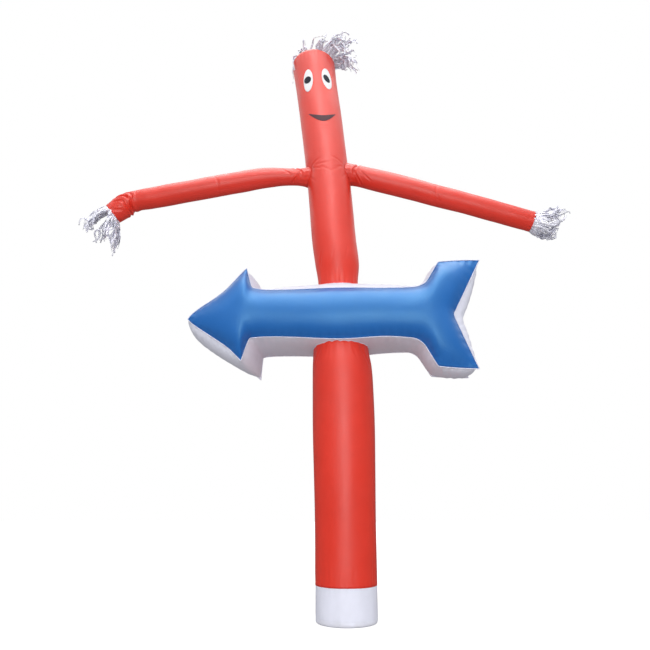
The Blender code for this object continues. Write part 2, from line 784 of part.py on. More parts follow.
def make_ribbons(name, middle, way, right_way, radius, ribbons, locks, sway, seed):
    """A narrow ring with ribbons that grow out of its rim and fall apart."""
    shuffle = random.Random(seed)
    segments = 2 * ribbons
    up_way = way.cross(right_way)
    down = Vector((0.0, 0.0, -1.0))
    points = []
    for side in range(segments):
        angle = math.tau * side / segments
        out = math.cos(angle) * right_way + math.sin(angle) * up_way
        inner = radius - RIBBON_THICKNESS
        for reach, height in ((radius, 0.0), (radius, RING_HEIGHT), (inner, RING_HEIGHT), (inner, 0.0)):
            points.append(middle + out * reach + way * height)
    faces = []
    for side in range(segments):
        here = side * 4
        there = ((side + 1) % segments) * 4
        faces.append((here, there, there + 1, here + 1))
        faces.append((here + 2, there + 2, there + 3, here + 3))
        faces.append((here + 3, there + 3, there, here))
        if side % 2:
            faces.append((here + 1, there + 1, there + 2, here + 2))
            continue
        angle = math.tau * (side + 0.5) / segments
        lock = lock_at(locks, math.degrees(angle))
        length = lock.length * (1.0 + RIBBON_SHUFFLE * shuffle.uniform(-1, 1))
        flare = lock.flare * (1.0 + RIBBON_SHUFFLE * shuffle.uniform(-1, 1))
        fall = lock.fall * (1.0 + RIBBON_SHUFFLE * shuffle.uniform(-1, 1))
        out = math.cos(angle) * right_way + math.sin(angle) * up_way
        across = way.cross(out)
        root = middle + out * (radius - RIBBON_THICKNESS / 2.0) + way * RING_HEIGHT
        width = 2.0 * radius * math.sin(math.pi / segments)
        ring = [here + 1, there + 1, there + 2, here + 2]

        def place(t):
            ahead = way * length * math.sin(t * RIBBON_BOW) / math.sin(RIBBON_BOW)
            return root + ahead + out * flare * t * (2.0 - t) + (down * fall + sway * length) * t * t

        for step in range(1, RIBBON_STEPS + 1):
            t = step / RIBBON_STEPS
            heading = (place(t) - place(t - RIBBON_LOOK)).normalized()
            side_way = (across - heading * across.dot(heading)).normalized()
            face_way = side_way.cross(heading)
            half = 0.5 * width * (1.0 + (RIBBON_TIP_WIDTH - 1.0) * t)
            thin = 0.5 * RIBBON_THICKNESS
            first = len(points)
            for over, deep in ((-half, thin), (half, thin), (half, -thin), (-half, -thin)):
                points.append(place(t) + side_way * over + face_way * deep)
            new = [first, first + 1, first + 2, first + 3]
            for corner in range(4):
                after = (corner + 1) % 4
                faces.append((ring[corner], ring[after], new[after], new[corner]))
            ring = new
        faces.append(tuple(ring))
    return add_object(name, points, faces, cloth_material("silver_ribbon", SILVER, 0.35, 0.2))


def make_hand(name, sections, locks, seed):
    """The ribbons in an arm's open end."""
    middle, way, radius = arm_path(sections)[-1]
    ring_radius = (radius - CLOTH) * math.cos(math.pi / ARM_SIDES) - HAND_RING_CLEARANCE
    start = middle - way * (RING_HEIGHT - HAND_RING_PROUD)
    right_way = Vector((0.0, 1.0, 0.0)) if way.x < 0.0 else Vector((0.0, -1.0, 0.0))
    return make_ribbons(name, start, way, right_way, ring_radius, HAND_RIBBONS, locks, NO_SWAY, seed)


def make_hair():
    """The ribbons on the crown."""
    middle = Vector((body_axis(CROWN_TOP), 0.0, CROWN_TOP + SEAM_GAP))
    way = Vector((0.0, 0.0, 1.0))
    right_way = Vector((1.0, 0.0, 0.0))
    return make_ribbons("hair_ribbons", middle, way, right_way, HAIR_RING_RADIUS, HAIR_RIBBONS,
                        HAIR_LOCKS, HAIR_SWAY, HAIR_SEED)


def stand_over_origin(pieces):
    """Moves the figure so that the middle of its box is over the origin."""
    bpy.context.view_layer.update()
    graph = bpy.context.evaluated_depsgraph_get()
    low = [math.inf] * 3
    high = [-math.inf] * 3
    for piece in pieces:
        solid = piece.evaluated_get(graph)
        for vertex in solid.data.vertices:
            for axis in range(3):
                low[axis] = min(low[axis], vertex.co[axis])
                high[axis] = max(high[axis], vertex.co[axis])
    figure = bpy.data.objects.new("figure", None)
    bpy.context.scene.collection.objects.link(figure)
    figure.location = (-(low[0] + high[0]) / 2.0, -(low[1] + high[1]) / 2.0, 0.0)
    return figure


def main():
    """Makes the whole figure."""
    clear_scene()
    pieces = [make_cuff(), make_lower_tube(), make_upper_tube()]

    in_arrow = [z for z in LOWER_HEIGHTS if z > LOWER_PLUG_FROM]
    lower_plug = closed_plug("lower_plug", [body_ring(z, HOLE_CLEARANCE) for z in in_arrow])
    upper_plug = closed_plug("upper_plug", [body_ring(z, HOLE_CLEARANCE) for z in UPPER_HEIGHTS])
    plugs = [lower_plug, upper_plug]
    pieces.append(make_arm("arm_left", LEFT_ARM, upper_plug))
    pieces.append(make_arm("arm_right", RIGHT_ARM, upper_plug))

    arrow = make_arrow()
    for plug in plugs:
        cut(arrow["arrow_band"], plug)
    pieces += list(arrow.values())

    white = cloth_material("eye_print", EYE_WHITE, 0.5)
    dark = cloth_material("pupil_print", PUPIL_DARK, 0.4)
    for patch in EYE_WHITES:
        pieces.append(make_oval(patch, PATCH_GAP, EYE_RINGS, EYE_SPOKES, white))
    for patch in PUPILS:
        pieces.append(make_oval(patch, PATCH_GAP + FACE_CLOTH + PUPIL_GAP, PUPIL_RINGS, PUPIL_SPOKES, dark))
    pieces.append(make_mouth())
    pieces.append(make_hair())
    pieces.append(make_hand("tassel_left", LEFT_ARM, LEFT_LOCKS, LEFT_SEED))
    pieces.append(make_hand("tassel_right", RIGHT_ARM, RIGHT_LOCKS, RIGHT_SEED))

    figure = stand_over_origin(pieces)
    for item in pieces + plugs:
        item.parent = figure


main()
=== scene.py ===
"""Looks of the inflatable tube dancer: blown nylon tubes, a sewn arrow round the waist, and ribbons.

Metres, +Z up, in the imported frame. The shape tables are written from the middle of the base, on the
ground, and every piece is moved by BASE at the end. -Y is the front.
"""

import math
import random
from collections import namedtuple

import bmesh
import bpy
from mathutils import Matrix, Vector, noise
from mathutils.bvhtree import BVHTree
from mathutils.kdtree import KDTree


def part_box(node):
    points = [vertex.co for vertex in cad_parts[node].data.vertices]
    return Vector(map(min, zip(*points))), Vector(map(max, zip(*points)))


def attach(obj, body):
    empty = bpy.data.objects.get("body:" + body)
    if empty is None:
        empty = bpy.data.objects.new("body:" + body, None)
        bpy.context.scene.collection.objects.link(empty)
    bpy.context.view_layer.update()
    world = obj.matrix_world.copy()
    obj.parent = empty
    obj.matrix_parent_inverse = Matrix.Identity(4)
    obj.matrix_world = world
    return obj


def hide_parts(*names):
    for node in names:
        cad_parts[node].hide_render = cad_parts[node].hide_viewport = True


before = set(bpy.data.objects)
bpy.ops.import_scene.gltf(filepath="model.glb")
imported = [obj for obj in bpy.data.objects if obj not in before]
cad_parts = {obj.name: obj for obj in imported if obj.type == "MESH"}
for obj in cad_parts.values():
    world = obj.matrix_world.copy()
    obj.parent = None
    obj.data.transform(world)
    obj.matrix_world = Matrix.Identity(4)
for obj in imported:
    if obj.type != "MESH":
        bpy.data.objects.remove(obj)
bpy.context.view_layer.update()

ROOT = "root"
cuff_low, cuff_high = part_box("base_cuff")
BASE = Vector(((cuff_low.x + cuff_high.x) / 2.0, (cuff_low.y + cuff_high.y) / 2.0, 0.0))

# Cloth, the gap at a seam, and the mean radius that the body's cloth coordinates are laid out at
CLOTH = 0.0012
SEAM_GAP = 0.0003
BODY_CLOTH_RADIUS = 0.22
PATCH_CLOTH = 0.0010
WEAVE_PITCH = 0.006

# Base cuff
CUFF_HEIGHT = 0.25
CUFF_RADIUS = 0.2285
CUFF_TOP_RADIUS = 0.2325
HEM_RADIUS = 0.018
HEM_WIDTH = 0.018

# Body tubes: height, how far the axis has leant over, and radius
Row = namedtuple("Row", "z axis_x radius")
LOWER_ROWS = [
    Row(0.250, 0.0000, 0.2325),
    Row(0.620, 0.0000, 0.2365),
    Row(1.000, -0.0015, 0.2455),
    Row(1.450, -0.0040, 0.2550),
    Row(1.780, -0.0080, 0.2565),
    Row(1.940, -0.0130, 0.2530),
    Row(2.040, -0.0190, 0.2440),
    Row(2.180, -0.0230, 0.2390),
]
UPPER_ROWS = [
    Row(2.610, -0.0370, 0.1790),
    Row(2.755, -0.0410, 0.1830),
    Row(2.915, -0.0485, 0.2010),
    Row(3.165, -0.0750, 0.2060),
    Row(3.600, -0.1060, 0.2075),
    Row(4.060, -0.1490, 0.2085),
    Row(4.550, -0.2000, 0.2130),
    Row(4.960, -0.2480, 0.2150),
    Row(5.235, -0.2780, 0.2240),
]
CROWN_TOP = 5.285
CROWN_EDGE_RADIUS = 0.050
BODY_SIDES = 160
CUFF_RINGS = 40
LOWER_RINGS = 170
UPPER_RINGS = 230
CROWN_RINGS = 10
CROWN_DISC_RINGS = 10
CROWN_SAG = 0.004

# Puckers that the waist seams draw into the tubes
PUCKER_DEPTH = 0.004
PUCKER_COUNT = 9
PUCKER_REACH = 0.16
PUCKER_TURN = 1.3

# Pulls in the body cloth beside each arm: angle, height, depth, spread in angle and in height
Pull = namedtuple("Pull", "angle z depth angle_spread z_spread")
PULLS = [
    Pull(math.radians(-148), 3.865, 0.016, 0.26, 0.075),
    Pull(math.radians(-26), 3.880, 0.016, 0.26, 0.080),
]

# Creases: angle from the front in degrees, height, length, tilt in degrees, width and depth
Crease = namedtuple("Crease", "angle z length tilt width depth")
UPPER_CREASES = [
    Crease(4, 4.300, 0.110, 2, 0.007, 0.0028),
    Crease(2, 4.268, 0.085, -3, 0.007, 0.0022),
    Crease(-40, 3.905, 0.150, 24, 0.008, 0.0040),
    Crease(-34, 3.845, 0.140, -20, 0.008, 0.0036),
    Crease(-14, 3.880, 0.130, 8, 0.008, 0.0028),
    Crease(-8, 3.820, 0.120, -32, 0.008, 0.0026),
    Crease(30, 3.925, 0.150, -22, 0.008, 0.0040),
    Crease(34, 3.860, 0.130, 18, 0.008, 0.0034),
    Crease(18, 3.815, 0.110, 30, 0.008, 0.0024),
    Crease(44, 3.775, 0.120, 48, 0.008, 0.0028),
    Crease(-52, 3.755, 0.130, -52, 0.008, 0.0028),
    Crease(160, 3.900, 0.160, 20, 0.008, 0.0030),
    Crease(200, 3.860, 0.150, -24, 0.008, 0.0030),
    Crease(-10, 2.930, 0.100, 62, 0.009, 0.0026),
    Crease(26, 2.960, 0.130, 78, 0.009, 0.0024),
    Crease(-48, 2.900, 0.120, 70, 0.009, 0.0026),
    Crease(120, 3.100, 0.300, 84, 0.010, 0.0020),
    Crease(215, 4.500, 0.300, 82, 0.010, 0.0018),
    Crease(-60, 4.980, 0.110, 30, 0.008, 0.0020),
    Crease(70, 4.960, 0.120, -26, 0.008, 0.0020),
]
LOWER_CREASES = [
    Crease(-58, 1.980, 0.150, 60, 0.009, 0.0040),
    Crease(50, 1.990, 0.150, -58, 0.009, 0.0042),
    Crease(-28, 2.020, 0.110, 76, 0.009, 0.0026),
    Crease(24, 2.010, 0.130, -72, 0.009, 0.0028),
    Crease(70, 1.900, 0.240, -80, 0.010, 0.0028),
    Crease(-76, 1.870, 0.220, 82, 0.010, 0.0026),
    Crease(12, 0.330, 0.110, 84, 0.010, 0.0016),
    Crease(-36, 0.350, 0.150, -84, 0.010, 0.0016),
    Crease(58, 0.360, 0.160, 86, 0.010, 0.0018),
    Crease(150, 1.400, 0.500, 88, 0.012, 0.0020),
    Crease(190, 0.900, 0.600, -87, 0.012, 0.0020),
]

# Arms: place of each section's middle, and its radius
Section = namedtuple("Section", "x z radius")
LEFT_ARM = [
    Section(-0.190, 3.855, 0.1080),
    Section(-0.310, 3.855, 0.1040),
    Section(-0.360, 3.856, 0.0900),
    Section(-0.425, 3.858, 0.0820),
    Section(-0.563, 3.861, 0.0850),
    Section(-0.670, 3.857, 0.0920),
    Section(-0.790, 3.842, 0.0980),
    Section(-0.950, 3.810, 0.1010),
    Section(-1.400, 3.712, 0.1010),
    Section(-1.850, 3.614, 0.1000),
    Section(-1.955, 3.592, 0.0960),
    Section(-2.020, 3.570, 0.1010),
    Section(-2.075, 3.535, 0.1080),
    Section(-2.182, 3.443, 0.1000),
]
RIGHT_ARM = [
    Section(-0.060, 3.888, 0.1150),
    Section(0.055, 3.885, 0.1120),
    Section(0.110, 3.880, 0.1030),
    Section(0.190, 3.864, 0.1010),
    Section(0.320, 3.829, 0.1040),
    Section(0.620, 3.740, 0.1050),
    Section(1.000, 3.622, 0.1010),
    Section(1.400, 3.494, 0.0985),
    Section(1.740, 3.381, 0.0980),
    Section(1.802, 3.360, 0.0990),
]
ARM_SIDES = 72
ARM_RINGS = 300
ARM_LOOK = 0.01

# Creases across an arm: place along it from the body, angle round it (90 is its top side for the
# right arm and its underside for the left one), length round it, tilt, width and depth
LEFT_ARM_CREASES = [
    Crease(205, 1.790, 0.150, 28, 0.010, 0.0150),
    Crease(160, 1.735, 0.150, -12, 0.011, 0.0150),
    Crease(120, 1.800, 0.150, 16, 0.010, 0.0130),
    Crease(185, 1.850, 0.100, 50, 0.009, 0.0100),
    Crease(240, 1.750, 0.140, 22, 0.010, 0.0090),
    Crease(92, 1.750, 0.210, 4, 0.024, 0.0130),
    Crease(60, 1.800, 0.140, -20, 0.011, 0.0120),
    Crease(150, 1.905, 0.100, 62, 0.009, 0.0080),
    Crease(200, 0.105, 0.140, 16, 0.010, 0.0085),
    Crease(140, 0.130, 0.130, -14, 0.010, 0.0080),
    Crease(255, 0.120, 0.130, 8, 0.010, 0.0080),
    Crease(180, 0.230, 0.110, 50, 0.011, 0.0040),
    Crease(300, 0.480, 0.200, 24, 0.012, 0.0020),
    Crease(150, 0.900, 0.260, 8, 0.012, 0.0018),
]
RIGHT_ARM_CREASES = [
    Crease(180, 0.090, 0.140, -14, 0.010, 0.0085),
    Crease(230, 0.110, 0.130, 12, 0.010, 0.0080),
    Crease(130, 0.100, 0.130, 6, 0.010, 0.0080),
    Crease(200, 0.190, 0.120, 50, 0.011, 0.0045),
    Crease(190, 0.900, 0.260, 6, 0.012, 0.0018),
    Crease(160, 1.620, 0.140, 80, 0.010, 0.0026),
]

# Arrow: each station crosses the face from its top edge to its bottom edge.
Station = namedtuple(
    "Station", "top_x top_z middle_x bottom_x bottom_z back_y back_dx back_dz top_puff bottom_puff")
STATIONS = [
    Station(-1.332, 2.315, -1.332, -1.332, 2.315, 0.130, 0.030, -0.050, 0.035, 0.035),
    Station(-1.296, 2.368, -1.290, -1.290, 2.270, 0.150, 0.045, -0.050, 0.045, 0.060),
    Station(-1.198, 2.442, -1.190, -1.180, 2.197, 0.200, 0.070, -0.050, 0.060, 0.080),
    Station(-1.099, 2.504, -1.085, -1.072, 2.124, 0.225, 0.090, -0.050, 0.065, 0.085),
    Station(-0.999, 2.592, -0.985, -0.968, 2.055, 0.245, 0.100, -0.050, 0.065, 0.080),
    Station(-0.925, 2.690, -0.910, -0.898, 1.983, 0.255, 0.110, -0.050, 0.055, 0.060),
    Station(-0.843, 2.779, -0.862, -0.850, 1.936, 0.260, 0.115, -0.050, 0.030, 0.025),
    Station(-0.821, 2.690, -0.827, -0.822, 2.040, 0.262, 0.090, -0.045, 0.045, 0.040),
    Station(-0.792, 2.592, -0.788, -0.790, 2.130, 0.265, 0.065, -0.035, 0.028, 0.020),
    Station(-0.715, 2.567, -0.710, -0.712, 2.139, 0.265, 0.030, -0.030, 0.050, 0.020),
    Station(-0.580, 2.562, -0.580, -0.580, 2.138, 0.265, 0.010, -0.025, 0.080, 0.022),
    Station(-0.400, 2.562, -0.400, -0.400, 2.130, 0.265, 0.000, -0.015, 0.105, 0.024),
    Station(-0.220, 2.565, -0.220, -0.220, 2.114, 0.265, 0.000, -0.005, 0.118, 0.022),
    Station(-0.030, 2.567, -0.030, -0.030, 2.103, 0.262, 0.000, 0.000, 0.120, 0.020),
    Station(0.150, 2.559, 0.150, 0.150, 2.110, 0.252, 0.000, 0.000, 0.116, 0.020),
    Station(0.330, 2.549, 0.330, 0.330, 2.122, 0.205, 0.000, 0.000, 0.100, 0.020),
    Station(0.490, 2.547, 0.480, 0.480, 2.108, 0.130, 0.000, 0.000, 0.080, 0.020),
    Station(0.615, 2.550, 0.590, 0.585, 2.094, 0.075, 0.005, 0.000, 0.050, 0.014),
    Station(0.690, 2.585, 0.655, 0.645, 2.045, 0.040, 0.005, 0.000, 0.030, 0.016),
    Station(0.748, 2.685, 0.705, 0.695, 1.943, 0.015, 0.005, 0.000, 0.045, 0.035),
    Station(0.805, 2.776, 0.755, 0.743, 1.855, 0.000, 0.005, 0.000, 0.035, 0.028),
    Station(0.920, 2.781, 0.800, 0.845, 1.842, -0.020, 0.000, 0.000, 0.050, 0.040),
    Station(1.035, 2.783, 0.850, 0.955, 1.832, -0.040, -0.005, 0.000, 0.045, 0.038),
    Station(1.150, 2.778, 0.896, 1.060, 1.828, -0.060, -0.015, 0.000, 0.025, 0.022),
]
SHARP_STATIONS = {0: 1.0, 6: 1.0, 8: 0.8, 17: 0.3, 18: 0.3, 20: 0.9, 23: 1.0}
FACE_Y = -0.265
FACE_YAW = math.radians(4.5)
NOTCH_Z = 2.290
NOTCH_PUFF = 0.105
ACROSS = 8
BAND_ROWS = 5
FACE_CROWN = 0.105
BACK_CROWN = 0.085
CROWN_REFERENCE = 0.0484
CROWN_POWER = 0.62
MEMBRANE_ROUNDS = 900
MEMBRANE_LOAD = 2.0
LEAST_SPAN = 0.001
ARROW_LEVELS = 3
HOLE_CLEARANCE = 0.0015
LOWER_WAIST_FROM = 1.70
UPPER_WAIST_FROM = 2.95
TUBE_PLUG_HEIGHTS = [1.72, 1.80, 1.86, 1.92, 1.97, 2.01, 2.04, 2.07, 2.10, 2.14, 2.18]
UPPER_PLUG_HEIGHTS = [2.61, 2.64, 2.68, 2.72, 2.75, 2.79, 2.83, 2.88, 2.92]
PLUG_SIDES = 96

# Gathers along the arrow's seams: wave length, depth and reach, for each piece
Gather = namedtuple("Gather", "wave depth reach")
GATHERS = {
    "arrow_face": Gather(0.075, 0.0090, 0.060),
    "arrow_band": Gather(0.070, 0.0120, 0.100),
    "arrow_back": Gather(0.080, 0.0090, 0.070),
}
BILLOW_DEPTH = 0.0060
BILLOW_SPAN = 0.30

# Face patches: the angle from the front and the height, half width and half height
Patch = namedtuple("Patch", "name angle z half_width half_height tilt")
EYE_WHITES = [
    Patch("eye_white_left", math.radians(-25.5), 4.872, 0.052, 0.135, -0.10),
    Patch("eye_white_right", math.radians(28.5), 4.900, 0.056, 0.130, 0.00),
]
PUPILS = [
    Patch("pupil_left", math.radians(-26.5), 4.880, 0.038, 0.042, -0.10),
    Patch("pupil_right", math.radians(27.5), 4.899, 0.034, 0.046, 0.20),
]
PATCH_GAP = 0.0008
PATCH_RINGS = 12
PATCH_SPOKES = 64
MOUTH_FROM = math.radians(-36.5)
MOUTH_TO = math.radians(38.5)
MOUTH_CORNER_Z = 4.474
MOUTH_TOP_Z = 4.424
MOUTH_LOW_Z = 4.356
MOUTH_CORNER_HEIGHT = 0.008
MOUTH_COLUMNS = 80
MOUTH_ROWS = 12

# Ribbons: each table row gives the ribbons at one angle round their ring, in degrees. They run ahead
# by their length, flare out from the ring's axis, and fall under their own weight.
Lock = namedtuple("Lock", "angle length flare fall")
HAIR_LOCKS = [
    Lock(-150, 0.13, 0.10, 0.12),
    Lock(-90, 0.16, 0.10, 0.04),
    Lock(-50, 0.26, 0.16, 0.05),
    Lock(-25, 0.30, 0.27, 0.12),
    Lock(0, 0.22, 0.25, 0.22),
    Lock(25, 0.34, 0.30, 0.12),
    Lock(60, 0.43, 0.20, 0.04),
    Lock(110, 0.28, 0.14, 0.04),
    Lock(150, 0.18, 0.12, 0.08),
    Lock(180, 0.13, 0.12, 0.30),
]
LEFT_LOCKS = [
    Lock(-90, 0.26, 0.02, 0.08),
    Lock(-45, 0.24, 0.04, 0.10),
    Lock(-10, 0.16, 0.06, 0.18),
    Lock(20, 0.06, 0.05, 0.27),
    Lock(90, 0.03, 0.04, 0.29),
    Lock(160, 0.06, 0.05, 0.27),
    Lock(190, 0.16, 0.06, 0.18),
    Lock(225, 0.24, 0.04, 0.10),
]
RIGHT_LOCKS = [
    Lock(-90, 0.26, 0.11, -0.02),
    Lock(0, 0.30, 0.07, -0.07),
    Lock(90, 0.29, 0.04, -0.14),
    Lock(180, 0.30, 0.09, -0.09),
]
# A bunch's ribbons gather into clumps, each led by the ribbon at one angle round the ring. The pull
# says how far they gather, and the thin side is where only that share of the ribbons are kept.
Bunch = namedtuple("Bunch", "name node locks sway ribbons clumps pull droop thin_share seed")
HAIR = Bunch("hair_streamers", "hair_ribbons", HAIR_LOCKS, Vector((0.30, 0.0, 0.0)), 180,
             (-165, -140, -75, -42, -24, -6, 10, 26, 44, 74, 105, 140, 172), 0.62, 0.15, 0.24, 31)
LEFT_HAND = Bunch("left_hand_streamers", "tassel_left", LEFT_LOCKS, Vector(), 76,
                  (-100, -78, -20, 46, 78, 108, 140, 200), 0.80, 0.03, 1.0, 42)
RIGHT_HAND = Bunch("right_hand_streamers", "tassel_right", RIGHT_LOCKS, Vector(), 92,
                   (-110, -80, -50, -15, 25, 60, 90, 125, 165, 215), 0.50, 0.03, 1.0, 53)
THICK_SIDE = math.radians(65)
HAIR_RING_RADIUS = 0.150
HAIR_RING_GAP = 0.001
HAND_RING_INSET = 0.004
HAND_RING_PROUD = 0.006
RING_HEIGHT = 0.014
RING_THICKNESS = 0.003
RING_SEGMENTS = 96
RIBBON_STEPS = 16
RIBBON_BOW = 1.25
RIBBON_THICKNESS = 0.0008
RIBBON_WIDTHS = (0.016, 0.030)
RIBBON_LENGTHS = (0.55, 1.0)
RIBBON_TWIST = 1.6

# Seams: the piping beside them and the stitches
WELT_RADIUS = 0.0040
WELT_SIDES = 8
STITCH_LENGTH = 0.0085
STITCH_PITCH = 0.0135
STITCH_RADIUS = 0.0010
STITCH_SIDES = 5
STITCH_INSET = 0.011
THREAD_LIFT = 0.0006
SEAM_STEPS = 360
BACK_SEAM_HALF = 0.03
LOWER_SEAM_TOP = 1.95
UPPER_SEAM_FOOT = 2.70
CUFF_HEM_ROW = 0.034
HAND_HEM = 0.022

# Studio: the world's brightness from straight below (0) to straight above (1), for the light on the
# cloth and for what shines in it, and the strength that both are written against
WORLD_TONES = [(0.0, 0.43), (0.5, 0.58), (1.0, 1.05)]
SHINE_TONES = [(0.0, 0.12), (0.52, 0.15), (0.66, 0.30), (0.77, 1.5), (0.81, 1.6), (0.86, 0.9), (1.0, 2.2)]
SHINE_SCALE = 2.5

# Camera and image
IMAGE_SIZE = 650.0
FOCAL_PIXELS = 530.0
SENSOR = 36.0
CAMERA_PLACE = Vector((-0.159, -4.400, 0.745))
CAMERA_PITCH = math.radians(19.7)


def between(rows, place, key, value):
    """Reads a table at a place between its rows, on a smooth curve through them."""
    places = [key(row) for row in rows]
    values = [value(row) for row in rows]
    last = len(rows) - 1
    index = 0
    while index < last - 1 and place > places[index + 1]:
        index += 1

    def slope(at):
        before = max(at - 1, 0)
        after = min(at + 1, last)
        return (values[after] - values[before]) / (places[after] - places[before])

    width = places[index + 1] - places[index]
    t = (place - places[index]) / width
    rise = values[index + 1] - values[index]
    bend = t * t * (3.0 - 2.0 * t)
    start = slope(index) * width * t * (1.0 - t) ** 2
    finish = slope(index + 1) * width * t * t * (t - 1.0)
    return values[index] + rise * bend + start + finish


def crease_depth(creases, angle, place, radius):
    """How deep the creases of a table are at an angle and a place along a tube."""
    depth = 0.0
    for crease in creases:
        up = place - crease.z
        if abs(up) > crease.length:
            continue
        across = math.remainder(angle - math.radians(crease.angle), math.tau) * radius
        if abs(across) > crease.length:
            continue
        tilt = math.radians(crease.tilt)
        along = (across * math.cos(tilt) + up * math.sin(tilt)) / (0.5 * crease.length)
        off = (up * math.cos(tilt) - across * math.sin(tilt)) / crease.width
        depth += crease.depth * math.exp(-off * off - along ** 4)
        ridge = abs(off) - 1.9
        depth -= 0.35 * crease.depth * math.exp(-ridge * ridge - along ** 4)
    return depth


def unevenness(point, span, depth, seed=0.0):
    """Slow swells of blown cloth."""
    return depth * noise.noise(Vector((point.x / span + seed, point.y / span, point.z / span)))


def seam_gathers(angle, away, count, depth, reach, seed):
    """Small uneven puckers beside a seam round a tube."""
    fade = math.exp(-((away / reach) ** 2))
    if fade < 0.01:
        return 0.0
    spot = Vector((3.0 * math.cos(angle) + seed, 3.0 * math.sin(angle), seed))
    phase = 3.0 * noise.noise(spot)
    size = 0.65 + 0.5 * noise.noise(spot * 2.0)
    return -depth * fade * size * (0.5 + 0.5 * math.cos(count * angle + phase))


def seam_pucker(angle, z):
    """How far the body cloth is drawn in beside the two waist seams."""
    lower_seam = LOWER_ROWS[-1].z
    upper_seam = UPPER_ROWS[0].z
    if z <= lower_seam:
        away = lower_seam - z
    elif z >= upper_seam:
        away = z - upper_seam
    else:
        away = 0.0
    fade = math.exp(-((away / PUCKER_REACH) ** 2))
    return -PUCKER_DEPTH * fade * (0.5 + 0.5 * math.cos(PUCKER_COUNT * angle + PUCKER_TURN))


def arm_pull(angle, z):
    """How far the body cloth is pulled in beside the arms."""
    depth = 0.0
    for pull in PULLS:
        turn = math.remainder(angle - pull.angle, math.tau) / pull.angle_spread
        climb = (z - pull.z) / pull.z_spread
        depth -= pull.depth * math.exp(-turn * turn - climb * climb)
    return depth


def body_axis(z):
    """Where the body's axis has leant to at a height."""
    rows = LOWER_ROWS if z <= LOWER_ROWS[-1].z else UPPER_ROWS
    return between(rows, min(z, rows[-1].z), lambda row: row.z, lambda row: row.axis_x)


def body_radius(angle, z):
    """The body's outer radius at an angle from +X and a height, without its fine folds."""
    rows = LOWER_ROWS if z <= LOWER_ROWS[-1].z else UPPER_ROWS
    plain = between(rows, min(z, rows[-1].z), lambda row: row.z, lambda row: row.radius)
    return plain + seam_pucker(angle, z) + arm_pull(angle, z)


def body_point(angle, z, out=0.0):
    """A point on the body's outer surface, or out from it."""
    radius = body_radius(angle, z) + out
    return Vector((body_axis(z) + radius * math.cos(angle), radius * math.sin(angle), z))


def fine_folds(angle, z):
    """The body's fine folds at an angle and a height: creases, gathers at the seams and slow swells."""
    from_front = angle + math.pi / 2.0
    spot = Vector((math.cos(angle), math.sin(angle), z))
    folds = unevenness(spot, 0.55, 0.0030)
    if z <= LOWER_ROWS[-1].z:
        folds -= crease_depth(LOWER_CREASES, from_front, z, 0.24)
        folds += seam_gathers(angle, z - CUFF_HEIGHT, 34, 0.0030, 0.055, 1.0)
        folds += seam_gathers(angle, 2.10 - z, 23, 0.0060, 0.090, 2.0)
    else:
        folds -= crease_depth(UPPER_CREASES, from_front, z, 0.21)
        folds += seam_gathers(angle, z - 2.68, 21, 0.0055, 0.080, 3.0)
        folds += seam_gathers(angle, CROWN_TOP - CROWN_EDGE_RADIUS - z, 30, 0.0028, 0.060, 4.0)
    return folds


def folded_point(angle, z, out=0.0):
    """A point on the body with its fine folds."""
    return body_point(angle, z, fine_folds(angle, z) + out)


def add_object(name, points, faces, material, coordinates=None):
    """Makes a piece from points and faces, with cloth coordinates in metres where they are given."""
    mesh = bpy.data.meshes.new(name)
    mesh.from_pydata([tuple(point) for point in points], [], faces)
    if coordinates is not None:
        layer = mesh.uv_layers.new(name="cloth")
        corner = 0
        for polygon in mesh.polygons:
            for loop in polygon.loop_indices:
                layer.data[loop].uv = coordinates[corner]
                corner += 1
    mesh.validate()
    mesh.shade_smooth()
    item = bpy.data.objects.new(name, mesh)
    bpy.context.scene.collection.objects.link(item)
    if material is not None:
        mesh.materials.append(material)
    return item


def thicken(item, thickness, side=-1.0):
    """Gives a sheet its thickness, inwards from its surface unless side says outwards."""
    solid = item.modifiers.new("cloth", "SOLIDIFY")
    solid.thickness = thickness
    solid.offset = side
    solid.use_even_offset = True
    solid.use_rim = True


def settle(item):
    """Applies a piece's modifiers."""
    graph = bpy.context.evaluated_depsgraph_get()
    mesh = bpy.data.meshes.new_from_object(item.evaluated_get(graph))
    mesh.name = item.name
    item.modifiers.clear()
    item.data = mesh


def finish_piece(item, node):
    """Puts a piece in its place in the frame, in its node's stead."""
    item.location = BASE
    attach(item, ROOT)
    if node is not None:
        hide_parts(node)


def grid_faces(rows, columns, closed, flip=False):
    """Quads of a grid of points, row after row."""
    faces = []
    for row in range(rows - 1):
        for column in range(columns if closed else columns - 1):
            after = (column + 1) % columns
            low = row * columns
            high = low + columns
            face = (low + column, low + after, high + after, high + column)
            faces.append(tuple(reversed(face)) if flip else face)
    return faces


def grid_coordinates(rows, columns, closed, across, along):
    """Cloth coordinates for the quads of a grid, from functions of the column and the row."""
    coordinates = []
    for row in range(rows - 1):
        for column in range(columns if closed else columns - 1):
            for side, climb in ((column, row), (column + 1, row), (column + 1, row + 1), (column, row + 1)):
                coordinates.append((across(side), along(climb)))
    return coordinates


# Materials

def new_material(name):
    """An empty node material with its output and its shader."""
    material = bpy.data.materials.new(name)
    material.use_nodes = True
    tree = material.node_tree
    shader = tree.nodes["Principled BSDF"]
    return material, tree, shader


def node(tree, kind, **values):
    """Adds a node and sets its properties and, where a name matches, its inputs."""
    made = tree.nodes.new(kind)
    for name, value in values.items():
        label = name.replace("_", " ").title()
        if hasattr(made, name):
            setattr(made, name, value)
        else:
            made.inputs[label].default_value = value
    return made


